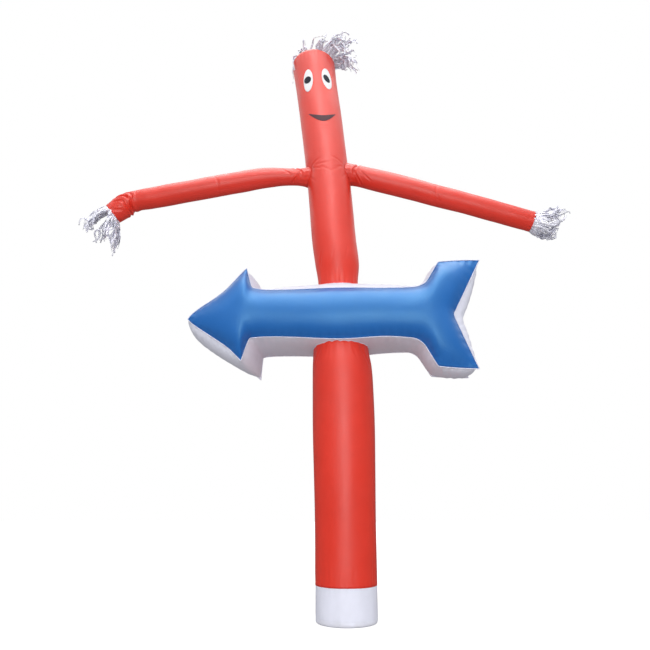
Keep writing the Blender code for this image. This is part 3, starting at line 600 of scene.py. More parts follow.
def noise_at(tree, coordinates, scale, detail, roughness=0.5, distortion=0.0):
    """A noise texture read at some coordinates."""
    made = node(tree, "ShaderNodeTexNoise", scale=scale, detail=detail, roughness=roughness,
                distortion=distortion)
    tree.links.new(coordinates, made.inputs["Vector"])
    return made.outputs["Fac"]


def ramp(tree, factor, stops):
    """A ramp of colours or greys over a factor."""
    made = tree.nodes.new("ShaderNodeValToRGB")
    elements = made.color_ramp.elements
    while len(elements) < len(stops):
        elements.new(0.5)
    for element, (place, colour) in zip(elements, stops):
        element.position = place
        element.color = colour if len(colour) == 4 else (*colour, 1.0)
    tree.links.new(factor, made.inputs["Fac"])
    return made.outputs["Color"]


def mixed(tree, factor, first, second, blend="MIX"):
    """Two colours mixed; each may be a socket or a plain colour."""
    made = tree.nodes.new("ShaderNodeMix")
    made.data_type = "RGBA"
    made.blend_type = blend
    made.clamp_factor = True
    sockets = [item for item in made.inputs if item.enabled]
    for socket, value in zip(sockets, (factor, first, second)):
        if isinstance(value, bpy.types.NodeSocket):
            tree.links.new(value, socket)
        elif isinstance(value, (int, float)):
            socket.default_value = value
        else:
            socket.default_value = (*value, 1.0)
    return [item for item in made.outputs if item.enabled][0]


def math_node(tree, operation, *values):
    """A math node over sockets or plain numbers."""
    made = tree.nodes.new("ShaderNodeMath")
    made.operation = operation
    for socket, value in zip(made.inputs, values):
        if isinstance(value, bpy.types.NodeSocket):
            tree.links.new(value, socket)
        else:
            socket.default_value = value
    return made.outputs[0]


def grey(value):
    """A grey of one value."""
    return (value, value, value)


def toned(tree, tone, colour, darkest):
    """A colour that a noise darkens a little in places."""
    shade = ramp(tree, tone, [(0.3, grey(darkest)), (0.7, grey(1.0))])
    return mixed(tree, 1.0, colour, shade, "MULTIPLY")


def crumpled(tree, shader, here, scale, detail, strength, distance):
    """Gives a shader small crinkles."""
    crinkle = noise_at(tree, here, scale, detail)
    bump = node(tree, "ShaderNodeBump", strength=strength, distance=distance)
    tree.links.new(crinkle, bump.inputs["Height"])
    tree.links.new(bump.outputs["Normal"], shader.inputs["Normal"])


def nylon(name, low_colour, high_colour, low_z, high_z, roughness, gloss,
          tint=(1.0, 1.0, 1.0), dirt_below=None):
    """Thin coated nylon: a ripstop weave, small crinkles, uneven tone, and painted light: where its two
    colours differ, a little lighter towards the top.
    """
    material, tree, shader = new_material(name)
    places = tree.nodes.new("ShaderNodeTexCoord")
    here = places.outputs["Object"]
    split = tree.nodes.new("ShaderNodeSeparateXYZ")
    tree.links.new(here, split.inputs[0])
    # Painted light: the colour runs from low_colour at low_z to high_colour at high_z, so the upper part is a
    # little lighter where the two differ.
    climb = math_node(tree, "DIVIDE", math_node(tree, "SUBTRACT", split.outputs["Z"], low_z), high_z - low_z)
    base = ramp(tree, climb, [(0.0, low_colour), (1.0, high_colour)])
    tone = noise_at(tree, here, 1.7, 3.0)
    shade = ramp(tree, tone, [(0.30, grey(0.92)), (0.72, grey(1.0))])
    colour = mixed(tree, 1.0, base, shade, "MULTIPLY")
    blotch = noise_at(tree, here, 9.0, 4.0, 0.6)
    spots = ramp(tree, blotch, [(0.35, grey(0.965)), (0.65, grey(1.0))])
    colour = mixed(tree, 1.0, colour, spots, "MULTIPLY")
    if dirt_below is not None:
        height = math_node(tree, "DIVIDE", split.outputs["Z"], dirt_below)
        dirt = math_node(tree, "ADD", height, math_node(tree, "MULTIPLY", blotch, 0.8))
        grime = ramp(tree, dirt, [(0.30, (0.86, 0.85, 0.82)), (0.85, grey(1.0))])
        colour = mixed(tree, 1.0, colour, grime, "MULTIPLY")
    tree.links.new(colour, shader.inputs["Base Color"])

    sheen_noise = noise_at(tree, here, 6.0, 3.0)
    rough = ramp(tree, sheen_noise, [(0.3, grey(roughness - 0.05)), (0.7, grey(roughness + 0.06))])
    tree.links.new(rough, shader.inputs["Roughness"])
    shader.inputs["Specular IOR Level"].default_value = gloss
    shader.inputs["Specular Tint"].default_value = (*tint, 1.0)

    crinkle = noise_at(tree, here, 34.0, 5.0, 0.55, 0.6)
    bump = node(tree, "ShaderNodeBump", strength=0.16, distance=0.004)
    tree.links.new(crinkle, bump.inputs["Height"])
    parts = tree.nodes.new("ShaderNodeSeparateXYZ")
    tree.links.new(places.outputs["UV"], parts.inputs[0])
    lines = []
    for axis in ("X", "Y"):
        turn = math_node(tree, "MULTIPLY", parts.outputs[axis], math.tau / WEAVE_PITCH)
        wave = math_node(tree, "COSINE", turn)
        lines.append(math_node(tree, "POWER", math_node(tree, "MAXIMUM", wave, 0.0), 12.0))
    grid = math_node(tree, "MAXIMUM", *lines)
    fine = node(tree, "ShaderNodeBump", strength=0.18, distance=0.0006)
    tree.links.new(grid, fine.inputs["Height"])
    tree.links.new(bump.outputs["Normal"], fine.inputs["Normal"])
    tree.links.new(fine.outputs["Normal"], shader.inputs["Normal"])
    return material


def printed(name, colour, roughness, gloss):
    """A dyed patch of nylon, sewn flat on the head."""
    material, tree, shader = new_material(name)
    places = tree.nodes.new("ShaderNodeTexCoord")
    here = places.outputs["Object"]
    tone = noise_at(tree, here, 14.0, 3.0)
    tree.links.new(toned(tree, tone, colour, 0.93), shader.inputs["Base Color"])
    tree.links.new(ramp(tree, tone, [(0.3, grey(roughness - 0.06)), (0.7, grey(roughness + 0.06))]),
                   shader.inputs["Roughness"])
    shader.inputs["Specular IOR Level"].default_value = gloss
    crumpled(tree, shader, here, 60.0, 4.0, 0.20, 0.002)
    return material


def ribbon_material():
    """Crumpled silver-white ribbon, with darker grey-violet patches as painted shade of its crumples."""
    material, tree, shader = new_material("silver_ribbon_finish")
    places = tree.nodes.new("ShaderNodeTexCoord")
    here = places.outputs["Object"]
    tone = noise_at(tree, here, 22.0, 4.0, 0.6)
    # Uneven tone of the ribbon, partly real and partly painted shade: the darker grey-violet stops stand in
    # for the shade in its crumples.
    colour = ramp(tree, tone, [
        (0.32, (0.56, 0.56, 0.68)),
        (0.52, (0.84, 0.84, 0.94)),
        (0.70, (0.95, 0.95, 0.98)),
    ])
    tree.links.new(colour, shader.inputs["Base Color"])
    shader.inputs["Metallic"].default_value = 0.10
    tree.links.new(ramp(tree, tone, [(0.3, grey(0.28)), (0.7, grey(0.44))]), shader.inputs["Roughness"])
    crumpled(tree, shader, here, 90.0, 3.0, 0.35, 0.003)
    return material


def thread_material(name, colour):
    """Sewing thread."""
    material, tree, shader = new_material(name)
    places = tree.nodes.new("ShaderNodeTexCoord")
    tone = noise_at(tree, places.outputs["Object"], 300.0, 2.0)
    tree.links.new(toned(tree, tone, colour, 0.85), shader.inputs["Base Color"])
    shader.inputs["Roughness"].default_value = 0.6
    return material


# RED and BLUE are a little lighter at their high colour: painted light on the upper body and on the arrow's
# upper part.
RED = nylon("red_nylon_finish", (0.78, 0.031, 0.012), (0.79, 0.036, 0.018), 1.2, 4.2, 0.42, 0.50)
BLUE = nylon("blue_nylon_finish", (0.018, 0.135, 0.470), (0.020, 0.145, 0.500), 1.9, 2.8, 0.36, 0.60,
             tint=(0.45, 0.90, 1.0))
WHITE = nylon("white_nylon_finish", (0.79, 0.80, 0.92), (0.79, 0.80, 0.92), 0.0, 3.0, 0.50, 0.30)
CUFF_WHITE = nylon("cuff_nylon_finish", (0.79, 0.80, 0.92), (0.79, 0.80, 0.92), 0.0, 3.0, 0.52, 0.30,
                   dirt_below=0.10)
EYE_PRINT = printed("eye_print_finish", (0.90, 0.90, 0.93), 0.45, 0.30)
PUPIL_PRINT = printed("pupil_print_finish", (0.003, 0.006, 0.018), 0.60, 0.15)
MOUTH_PRINT = printed("mouth_print_finish", (0.090, 0.038, 0.048), 0.60, 0.20)
SILVER = ribbon_material()
RED_THREAD = thread_material("red_thread", (0.50, 0.030, 0.020))
WHITE_THREAD = thread_material("white_thread", (0.78, 0.79, 0.86))
BLUE_THREAD = thread_material("blue_thread", (0.015, 0.070, 0.260))
DARK_THREAD = thread_material("dark_thread", (0.020, 0.018, 0.028))


# Body

def cuff_fold(angle, z):
    """The cuff's folds: gathers under its seam and over its hem, the hem's groove, and slow swells."""
    start = HEM_RADIUS * 0.9
    if z <= start:
        return 0.0
    spot = Vector((math.cos(angle), math.sin(angle), z))
    fold = unevenness(spot, 0.22, 0.0024, 5.0)
    fold += seam_gathers(angle, CUFF_HEIGHT - z, 34, 0.0034, 0.045, 1.0)
    fold += seam_gathers(angle, z - CUFF_HEM_ROW, 30, 0.0022, 0.030, 6.0)
    groove = (z - CUFF_HEM_ROW) / 0.0035
    fold -= 0.0014 * math.exp(-groove * groove)
    return fold * min(1.0, (z - start) / 0.01)


def cuff_point(angle, z, out=0.0):
    """A point on the cuff's wall, or out from it."""
    radius = CUFF_RADIUS + (CUFF_TOP_RADIUS - CUFF_RADIUS) * z / CUFF_HEIGHT + cuff_fold(angle, z) + out
    return Vector((radius * math.cos(angle), radius * math.sin(angle), z))


def make_cuff():
    """The white cuff, with its hem rounded under to a flat ring on the ground."""
    hem_middle = CUFF_RADIUS - HEM_RADIUS
    profile = [(hem_middle - HEM_WIDTH, 0.0), (hem_middle - 0.5 * HEM_WIDTH, 0.0)]
    for step in range(9):
        turn = math.radians(90.0 * step / 8)
        profile.append((hem_middle + HEM_RADIUS * math.sin(turn), HEM_RADIUS * (1.0 - math.cos(turn))))
    points = []
    for radius, z in profile:
        for side in range(BODY_SIDES):
            angle = math.tau * side / BODY_SIDES
            points.append(Vector((radius * math.cos(angle), radius * math.sin(angle), z)))
    for step in range(1, CUFF_RINGS + 1):
        z = HEM_RADIUS + (CUFF_HEIGHT - HEM_RADIUS) * step / CUFF_RINGS
        profile.append((CUFF_RADIUS, z))
        points += [cuff_point(math.tau * side / BODY_SIDES, z) for side in range(BODY_SIDES)]
    around = math.tau * CUFF_RADIUS / BODY_SIDES
    lengths = [0.0]
    for before, after in zip(profile, profile[1:]):
        lengths.append(lengths[-1] + math.hypot(after[0] - before[0], after[1] - before[1]))
    cuff = add_object(
        "cuff_cloth", points, grid_faces(len(profile), BODY_SIDES, True), CUFF_WHITE,
        grid_coordinates(len(profile), BODY_SIDES, True,
                         lambda side: side * around, lambda row: lengths[row]))
    thicken(cuff, CLOTH)
    finish_piece(cuff, "base_cuff")


def body_tube(heights, extra_rings=()):
    """Points, faces and cloth coordinates of a body tube."""
    points = []
    for z in heights:
        for side in range(BODY_SIDES):
            angle = math.tau * side / BODY_SIDES
            points.append(folded_point(angle, z))
    for ring in extra_rings:
        points += ring
    rows = len(heights) + len(extra_rings)
    around = math.tau * BODY_CLOTH_RADIUS / BODY_SIDES
    lengths = list(heights) + [heights[-1] + 0.01 * (step + 1) for step in range(len(extra_rings))]
    coordinates = grid_coordinates(
        rows, BODY_SIDES, True, lambda side: side * around, lambda row: lengths[row])
    return points, grid_faces(rows, BODY_SIDES, True), coordinates


def make_lower_tube():
    """The red tube from the cuff up into the arrow."""
    start = CUFF_HEIGHT + SEAM_GAP
    climb = LOWER_ROWS[-1].z - start
    heights = [start + climb * step / LOWER_RINGS for step in range(LOWER_RINGS + 1)]
    points, faces, coordinates = body_tube(heights)
    tube = add_object("lower_tube_cloth", points, faces, RED, coordinates)
    thicken(tube, CLOTH)
    finish_piece(tube, "lower_tube")


def crown_rings():
    """The rings that round the head over to its nearly flat top, and the top itself."""
    z_start = CROWN_TOP - CROWN_EDGE_RADIUS
    axis = body_axis(z_start)
    rings = []

    def ring_at(inset, z, gather):
        ring = []
        for side in range(BODY_SIDES):
            angle = math.tau * side / BODY_SIDES
            radius = body_radius(angle, z_start) - inset
            fold = seam_gathers(angle, 0.0, 30, 0.0028, 0.060, 4.0) * gather
            lift = 0.9 * fold if gather < 1.0 else 0.0
            reach = radius + fold
            ring.append(Vector((axis + reach * math.cos(angle), reach * math.sin(angle), z + lift)))
        return ring

    for step in range(1, CROWN_RINGS + 1):
        turn = math.radians(90.0 * step / CROWN_RINGS)
        rings.append(ring_at(CROWN_EDGE_RADIUS * (1.0 - math.cos(turn)),
                             z_start + CROWN_EDGE_RADIUS * math.sin(turn), 1.0 - 0.5 * step / CROWN_RINGS))
    flat_radius = body_radius(0.0, z_start) - CROWN_EDGE_RADIUS
    for step in range(1, CROWN_DISC_RINGS):
        share = step / CROWN_DISC_RINGS
        sag = CROWN_SAG * math.sin(math.pi * share)
        rings.append(ring_at(CROWN_EDGE_RADIUS + flat_radius * share, CROWN_TOP - sag, 0.5 * (1.0 - share)))
    return rings


def make_upper_tube(hair):
    """The red tube from the arrow up to the head, closed by its crown; the hair ribbons passed in are not
    used.
    """
    z_start = CROWN_TOP - CROWN_EDGE_RADIUS
    foot = UPPER_ROWS[0].z
    heights = [foot + (z_start - foot) * step / UPPER_RINGS for step in range(UPPER_RINGS + 1)]
    rings = crown_rings()
    points, faces, coordinates = body_tube(heights, rings)
    first = len(points) - BODY_SIDES
    points.append(sum((Vector(point) for point in points[first:]), Vector()) / BODY_SIDES)
    for side in range(BODY_SIDES):
        faces.append((first + side, first + (side + 1) % BODY_SIDES, len(points) - 1))
        coordinates += [(0.0, 0.0), (0.01, 0.0), (0.005, 0.01)]
    tube = add_object("upper_tube_cloth", points, faces, RED, coordinates)
    thicken(tube, CLOTH)
    finish_piece(tube, "upper_tube")


# Arms

def arm_reader(sections):
    """A function that gives an arm's middle, direction and radius at a place along it, and its length."""
    travel = [0.0]
    for before, after in zip(sections, sections[1:]):
        travel.append(travel[-1] + math.hypot(after.x - before.x, after.z - before.z))
    marked = list(zip(travel, sections))

    def read(at, name):
        return between(marked, at, lambda row: row[0], lambda row: getattr(row[1], name))

    def place(at):
        ahead = min(at + ARM_LOOK, travel[-1])
        behind = max(at - ARM_LOOK, 0.0)
        way = Vector((read(ahead, "x") - read(behind, "x"), 0.0, read(ahead, "z") - read(behind, "z")))
        return Vector((read(at, "x"), 0.0, read(at, "z"))), way.normalized(), read(at, "radius")

    return place, travel[-1]


def arm_point(place, at, angle, out=0.0):
    """A point on an arm's outer surface."""
    middle, way, radius = place(at)
    side_way = Vector((0.0, 1.0, 0.0))
    up_way = way.cross(side_way)
    return middle + (radius + out) * (math.cos(angle) * side_way + math.sin(angle) * up_way)


def outside_body(point):
    """How far a point is outside the body."""
    axis = body_axis(point.z)
    angle = math.atan2(point.y, point.x - axis)
    return math.hypot(point.x - axis, point.y) - body_radius(angle, point.z) - fine_folds(angle, point.z)


def arm_root(place, angle):
    """How far along the arm its surface leaves the body, at an angle round it."""
    low = 0.0
    high = 0.50
    for _ in range(26):
        middle = 0.5 * (low + high)
        if outside_body(arm_point(place, middle, angle)) > 0.0:
            high = middle
        else:
            low = middle
    return high


def make_arm(name, node_name, sections, creases):
    """One arm, from its seam on the body to its open end; returns the rows for its stitches."""
    place, length = arm_reader(sections)
    roots = [arm_root(place, math.tau * side / ARM_SIDES) for side in range(ARM_SIDES)]

    def skin_point(side, away, out=0.0):
        angle = math.tau * side / ARM_SIDES
        at = roots[side] + away
        fold = -crease_depth(creases, angle, away, 0.1)
        fold += seam_gathers(angle, away, 15, 0.0070, 0.075, 7.0 + length)
        fold += seam_gathers(angle, length - at, 13, 0.0040, 0.070, 8.0 + length)
        spot = Vector((at, math.cos(angle) * 0.1, math.sin(angle) * 0.1))
        fold += unevenness(spot, 0.20, 0.0036, 9.0)
        fold *= min(1.0, away / 0.012)
        return arm_point(place, at, angle, fold + out)

    points = []
    for ring in range(ARM_RINGS + 1):
        share = ring / ARM_RINGS
        points += [skin_point(side, (length - roots[side]) * share) for side in range(ARM_SIDES)]
    rows = ARM_RINGS + 1
    around = math.tau * 0.1 / ARM_SIDES
    step = (length - 0.2) / ARM_RINGS
    arm = add_object(name, points, grid_faces(rows, ARM_SIDES, True), RED,
                     grid_coordinates(rows, ARM_SIDES, True,
                                      lambda side: side * around, lambda row: row * step))
    thicken(arm, CLOTH)
    finish_piece(arm, node_name)

    stitch_places = []
    sides = list(range(ARM_SIDES)) + [0]
    end_rows = (lambda side: STITCH_INSET, lambda side: length - roots[side] - HAND_HEM)
    for reach in end_rows:
        row = []
        for side in sides:
            spot = skin_point(side, reach(side), THREAD_LIFT)
            row.append((spot, (spot - skin_point(side, reach(side), -0.01)).normalized()))
        stitch_places.append(row)
    back = []
    for step in range(SEAM_STEPS + 1):
        away = STITCH_INSET + (length - roots[0] - HAND_HEM - STITCH_INSET) * step / SEAM_STEPS
        back.append((skin_point(0, away, THREAD_LIFT), Vector((0.0, 1.0, 0.0))))
    stitch_places.append(back)
    return stitch_places


# Arrow

def station_line(station, is_last):
    """Points of a station across the face, from its top edge to its bottom edge."""
    middle_z = NOTCH_Z if is_last else 0.5 * (station.top_z + station.bottom_z)
    line = []
    for step in range(ACROSS + 1):
        share = step / ACROSS
        if share <= 0.5:
            t = share * 2.0
            x = station.top_x + (station.middle_x - station.top_x) * t
            z = station.top_z + (middle_z - station.top_z) * t
        else:
            t = share * 2.0 - 1.0
            x = station.middle_x + (station.bottom_x - station.middle_x) * t
            z = middle_z + (station.bottom_z - middle_z) * t
        line.append((x, z))
    return line


def membrane_heights(lines):
    """Heights of a sheet blown up over the face's outline, by letting every point follow its neighbours."""
    columns = len(lines)
    spots = {}
    for column in range(columns):
        for row in range(ACROSS + 1):
            spots[column, row] = Vector(lines[column][row])
    heights = {key: 0.0 for key in spots}
    inner = [(c, r) for c in range(1, columns - 1) for r in range(1, ACROSS)]
    links = {}
    for c, r in inner:
        sums = []
        for near in ((c - 1, r), (c + 1, r), (c, r - 1), (c, r + 1)):
            span = max((spots[near] - spots[c, r]).length, LEAST_SPAN)
            sums.append((near, 1.0 / span ** 2))
        links[c, r] = (sums, sum(weight for _, weight in sums))
    for _ in range(MEMBRANE_ROUNDS):
        for key in inner:
            sums, total = links[key]
            heights[key] = (MEMBRANE_LOAD + sum(weight * heights[near] for near, weight in sums)) / total
    return heights


def crown_of(height, crown):
    """Turns a membrane height into how far the blown cloth stands out."""
    return crown * (max(height, 0.0) / CROWN_REFERENCE) ** CROWN_POWER


def edge_puff(place, last):
    """How far the side band swells outwards beside a place on the face's edge."""
    column, row = place
    if 0 < row < ACROSS:
        reach = math.sin(math.pi * row / ACROSS)
        return STATIONS[last].top_puff + (NOTCH_PUFF - STATIONS[last].top_puff) * reach
    return STATIONS[column].top_puff if row == 0 else STATIONS[column].bottom_puff


def arrow_cage():
    """The arrow's outer skin as a coarse cage: points, faces by piece, seam loops and corner sharpness."""
    last = len(STATIONS) - 1
    lines = [station_line(station, index == last) for index, station in enumerate(STATIONS)]
    heights = membrane_heights(lines)
    points = []
    index_of = {}

    def face_y(x):
        return FACE_Y - math.tan(FACE_YAW) * x

    def add_point(key, position):
        index_of[key] = len(points)
        points.append(Vector(position))

    for column in range(last + 1):
        for row in range(ACROSS + 1):
            if column == 0 and row > 0:
                index_of["front", 0, row] = index_of["front", 0, 0]
                index_of["back", 0, row] = index_of["back", 0, 0]
                continue
            x, z = lines[column][row]
            station = STATIONS[column]
            height = heights[column, row]
            add_point(("front", column, row), (x, face_y(x) - crown_of(height, FACE_CROWN), z))
            back = (x + station.back_dx, station.back_y + crown_of(height, BACK_CROWN), z + station.back_dz)
            add_point(("back", column, row), back)

    faces = {"arrow_face": [], "arrow_band": [], "arrow_back": []}
    for column in range(last):
        for row in range(ACROSS):
            corners = ((column, row), (column + 1, row), (column + 1, row + 1), (column, row + 1))
            front = [index_of[("front", *corner)] for corner in corners]
            back = [index_of[("back", *corner)] for corner in reversed(corners)]
            faces["arrow_face"].append(tuple(dict.fromkeys(front)))
            faces["arrow_back"].append(tuple(dict.fromkeys(back)))

    loop = [(column, 0) for column in range(last + 1)]
    loop += [(last, row) for row in range(1, ACROSS)]
    loop += [(column, ACROSS) for column in range(last, 0, -1)]
    count = len(loop)
    sharp = {}
    for step, place in enumerate(loop):
        x, z = lines[place[0]][place[1]]
        ahead = Vector(lines[loop[(step + 1) % count][0]][loop[(step + 1) % count][1]])
        behind = Vector(lines[loop[step - 1][0]][loop[step - 1][1]])
        along_in = (Vector((x, z)) - behind).normalized()
        along_out = (ahead - Vector((x, z))).normalized()
        along = (along_in + along_out).normalized()
        outward = Vector((-along.y, 0.0, along.x))
        start = points[index_of[("front", *place)]]
        finish = points[index_of[("back", *place)]]
        puff = edge_puff(place, last)
        for band in range(1, BAND_ROWS):
            turn = math.pi * band / BAND_ROWS
            share = 0.5 - 0.5 * math.cos(turn)
            add_point(("band", step, band), start.lerp(finish, share) + outward * puff * math.sin(turn))
        index_of["band", step, 0] = index_of[("front", *place)]
        index_of["band", step, BAND_ROWS] = index_of[("back", *place)]
        column, row = place
        strength = SHARP_STATIONS.get(column, 0.0) if row in (0, ACROSS) else 0.0
        if column == last and row == ACROSS // 2:
            strength = 0.7
        sharp[index_of[("front", *place)]] = strength
        sharp[index_of[("back", *place)]] = strength
    for step in range(count):
        after = (step + 1) % count
        for band in range(BAND_ROWS):
            faces["arrow_band"].append((
                index_of["band", step, band], index_of["band", step, band + 1],
                index_of["band", after, band + 1], index_of["band", after, band]))
    loops = []
    for band in (0, BAND_ROWS):
        loops.append([index_of["band", step, band] for step in range(count)])
    return points, faces, loops, sharp


def fine_arrow():
    """The arrow's cage subdivided, with its seams and corners kept, and a material for each piece."""
    points, faces, loops, sharp = arrow_cage()
    order = list(faces)
    every = [face for name in order for face in faces[name]]
    cage = add_object("arrow_cage", points, every, None)
    which = [index for index, name in enumerate(order) for _ in faces[name]]
    for material in (BLUE, WHITE, WHITE):
        cage.data.materials.append(material)
    shell = bmesh.new()
    shell.from_mesh(cage.data)
    for face, index in zip(shell.faces, which):
        face.material_index = index
    bmesh.ops.recalc_face_normals(shell, faces=shell.faces)
    shell.to_mesh(cage.data)
    shell.free()
    seam = set()
    for loop in loops:
        seam |= {frozenset((here, there)) for here, there in zip(loop, loop[1:] + loop[:1])}
    edge_sharpness = cage.data.attributes.new("crease_edge", "FLOAT", "EDGE")
    for edge in cage.data.edges:
        edge_sharpness.data[edge.index].value = 1.0 if frozenset(edge.vertices) in seam else 0.0
    corner_sharpness = cage.data.attributes.new("crease_vert", "FLOAT", "POINT")
    for vertex, strength in sharp.items():
        corner_sharpness.data[vertex].value = strength
    smooth = cage.modifiers.new("smooth", "SUBSURF")
    smooth.levels = ARROW_LEVELS
    smooth.render_levels = ARROW_LEVELS
    settle(cage)
    return cage, order


def seam_loop(mesh, first, second):
    """The mesh's points along the seam between two materials, in order, once round."""
    links = {}
    owners = {}
    for polygon in mesh.polygons:
        for key in polygon.edge_keys:
            owners.setdefault(key, set()).add(polygon.material_index)
    for key, materials in owners.items():
        if materials == {first, second}:
            for here, there in (key, key[::-1]):
                links.setdefault(here, []).append(there)
    start = min(links)
    loop = [start]
    before = None
    here = start
    while True:
        ahead = [there for there in links[here] if there != before]
        before, here = here, ahead[0]
        if here == start:
            return loop
        loop.append(here)


def gather_arrow(mesh, order, seams):
    """Puts gathers beside the seams and slow swells into the arrow's skin."""
    marks = []
    for loop in seams:
        travel = 0.0
        for here, there in zip(loop, loop[1:] + loop[:1]):
            marks.append((mesh.vertices[here].co.copy(), travel))
            travel += (mesh.vertices[here].co - mesh.vertices[there].co).length
    tree = KDTree(len(marks))
    for index, (place, _) in enumerate(marks):
        tree.insert(place, index)
    tree.balance()
    piece_of = {}
    for polygon in mesh.polygons:
        for vertex in polygon.vertices:
            piece_of.setdefault(vertex, set()).add(polygon.material_index)
    moves = []
    for vertex in mesh.vertices:
        pieces = piece_of[vertex.index]
        if len(pieces) > 1:
            continue
        gather = GATHERS[order[min(pieces)]]
        _, index, away = tree.find(vertex.co)
        travel = marks[index][1]
        wander = 2.4 * noise.noise(vertex.co * 4.0)
        size = 0.5 + 0.9 * abs(noise.noise(vertex.co * 6.0 + Vector((7.0, 0.0, 0.0))))
        rise = min(1.0, away / 0.015)
        wave = math.cos(math.tau * travel / gather.wave + wander)
        move = -gather.depth * size * (0.5 + 0.5 * wave) * math.exp(-((away / gather.reach) ** 1.5)) * rise
        move += unevenness(vertex.co, BILLOW_SPAN, BILLOW_DEPTH, 3.0) * rise
        moves.append((vertex, vertex.normal * move))
    for vertex, move in moves:
        vertex.co += move


def box_coordinates(mesh, axes):
    """Cloth coordinates read straight off two axes."""
    layer = mesh.uv_layers.new(name="cloth")
    for loop in mesh.loops:
        spot = mesh.vertices[loop.vertex_index].co
        layer.data[loop.index].uv = (spot[axes[0]], spot[axes[1]])


def part_of(mesh, name, index, material):
    """One material's faces of a mesh as an object of their own."""
    used = {}
    faces = []
    points = []
    for polygon in mesh.polygons:
        if polygon.material_index != index:
            continue
        face = []
        for vertex in polygon.vertices:
            if vertex not in used:
                used[vertex] = len(points)
                points.append(mesh.vertices[vertex].co.copy())
            face.append(used[vertex])
        faces.append(tuple(face))
    item = add_object(name, points, faces, material)
    box_coordinates(item.data, (0, 2))
    return item


def tube_plug(name, heights):
    """A closed solid just outside a body tube, for cutting the band round it."""
    points = []
    for z in heights:
        for side in range(PLUG_SIDES):
            angle = math.tau * side / PLUG_SIDES
            points.append(folded_point(angle, z, HOLE_CLEARANCE))
    faces = grid_faces(len(heights), PLUG_SIDES, True)
    faces.append(tuple(reversed(range(PLUG_SIDES))))
    faces.append(tuple(range(len(points) - PLUG_SIDES, len(points))))
    return add_object(name, points, faces, None)


def waist_seam(skin, start_z, climb):
    """Where a body tube meets the arrow's skin, once round, seen from outside the arrow."""
    line = []
    for step in range(SEAM_STEPS):
        angle = math.tau * step / SEAM_STEPS
        z = start_z
        for _ in range(3):
            start = folded_point(angle, z)
            start.z = start_z
            hit = skin.ray_cast(start, Vector((0.0, 0.0, climb)))[0]
            z = hit.z
        line.append((folded_point(angle, z), Vector((math.cos(angle), math.sin(angle), -climb))))
    return line


def beside_seam(mesh, loop, piece, reach):
    """A row of places on one piece of the arrow, a little way from its seam, with the outward ways there."""
    polygons = [polygon for polygon in mesh.polygons if polygon.material_index == piece]
    sheet = BVHTree.FromPolygons([vertex.co for vertex in mesh.vertices],
                                 [tuple(polygon.vertices) for polygon in polygons])
    centres = {}
    for polygon in polygons:
        for vertex in polygon.vertices:
            centres.setdefault(vertex, []).append(polygon.center)
    row = []
    count = len(loop)
    for order, vertex in enumerate(loop):
        here = mesh.vertices[vertex].co
        along = (mesh.vertices[loop[(order + 1) % count]].co - mesh.vertices[loop[order - 1]].co).normalized()
        inward = sum(centres[vertex], Vector()) / len(centres[vertex]) - here
        inward -= along * inward.dot(along)
        spot, normal, _, _ = sheet.find_nearest(here + inward.normalized() * reach)
        row.append((spot + normal * THREAD_LIFT, normal))
    return row + row[:1]


def make_arrow():
    """The arrow's blue face, white side band and white back; returns its seams and stitch rows."""
    cage, order = fine_arrow()
    mesh = cage.data
    seams = [seam_loop(mesh, 0, 1), seam_loop(mesh, 1, 2)]
    gather_arrow(mesh, order, seams)
    skin = BVHTree.FromPolygons([vertex.co for vertex in mesh.vertices],
                                [tuple(polygon.vertices) for polygon in mesh.polygons])
    edges = [[mesh.vertices[index] for index in seam] for seam in seams]
    welts = {
        "face_piping": [(vertex.co.copy(), vertex.normal.copy()) for vertex in edges[0]],
        "back_piping": [(vertex.co.copy(), vertex.normal.copy()) for vertex in edges[1]],
        "lower_waist_piping": waist_seam(skin, LOWER_WAIST_FROM, 1.0),
        "upper_waist_piping": waist_seam(skin, UPPER_WAIST_FROM, -1.0),
    }
    rows = {
        "blue": [beside_seam(mesh, seams[0], 0, STITCH_INSET)],
        "white": [beside_seam(mesh, seams[0], 1, STITCH_INSET), beside_seam(mesh, seams[1], 1, STITCH_INSET),
                  beside_seam(mesh, seams[1], 2, STITCH_INSET)],
    }
    face = part_of(mesh, "arrow_face_cloth", 0, BLUE)
    band = part_of(mesh, "arrow_band_cloth", 1, WHITE)
    back = part_of(mesh, "arrow_back_cloth", 2, WHITE)
    for item in (face, band, back):
        thicken(item, CLOTH)
    plugs = [tube_plug("lower_plug", TUBE_PLUG_HEIGHTS), tube_plug("upper_plug", UPPER_PLUG_HEIGHTS)]
    for plug in plugs:
        cut = band.modifiers.new(plug.name, "BOOLEAN")
        cut.operation = "DIFFERENCE"
        cut.object = plug
    settle(band)
    for plug in plugs + [cage]:
        bpy.data.objects.remove(plug, do_unlink=True)
    for item, node_name, slot in ((face, "arrow_face", "blue_nylon"), (band, "arrow_band", "white_nylon"),
                                  (back, "arrow_back", "white_nylon")):
        finish_piece(item, node_name)
    return welts, rows


# Face

def face_place(angle, z, out):
    """A point on the head, at an angle from the front."""
    return folded_point(angle - math.pi / 2.0, z, out)


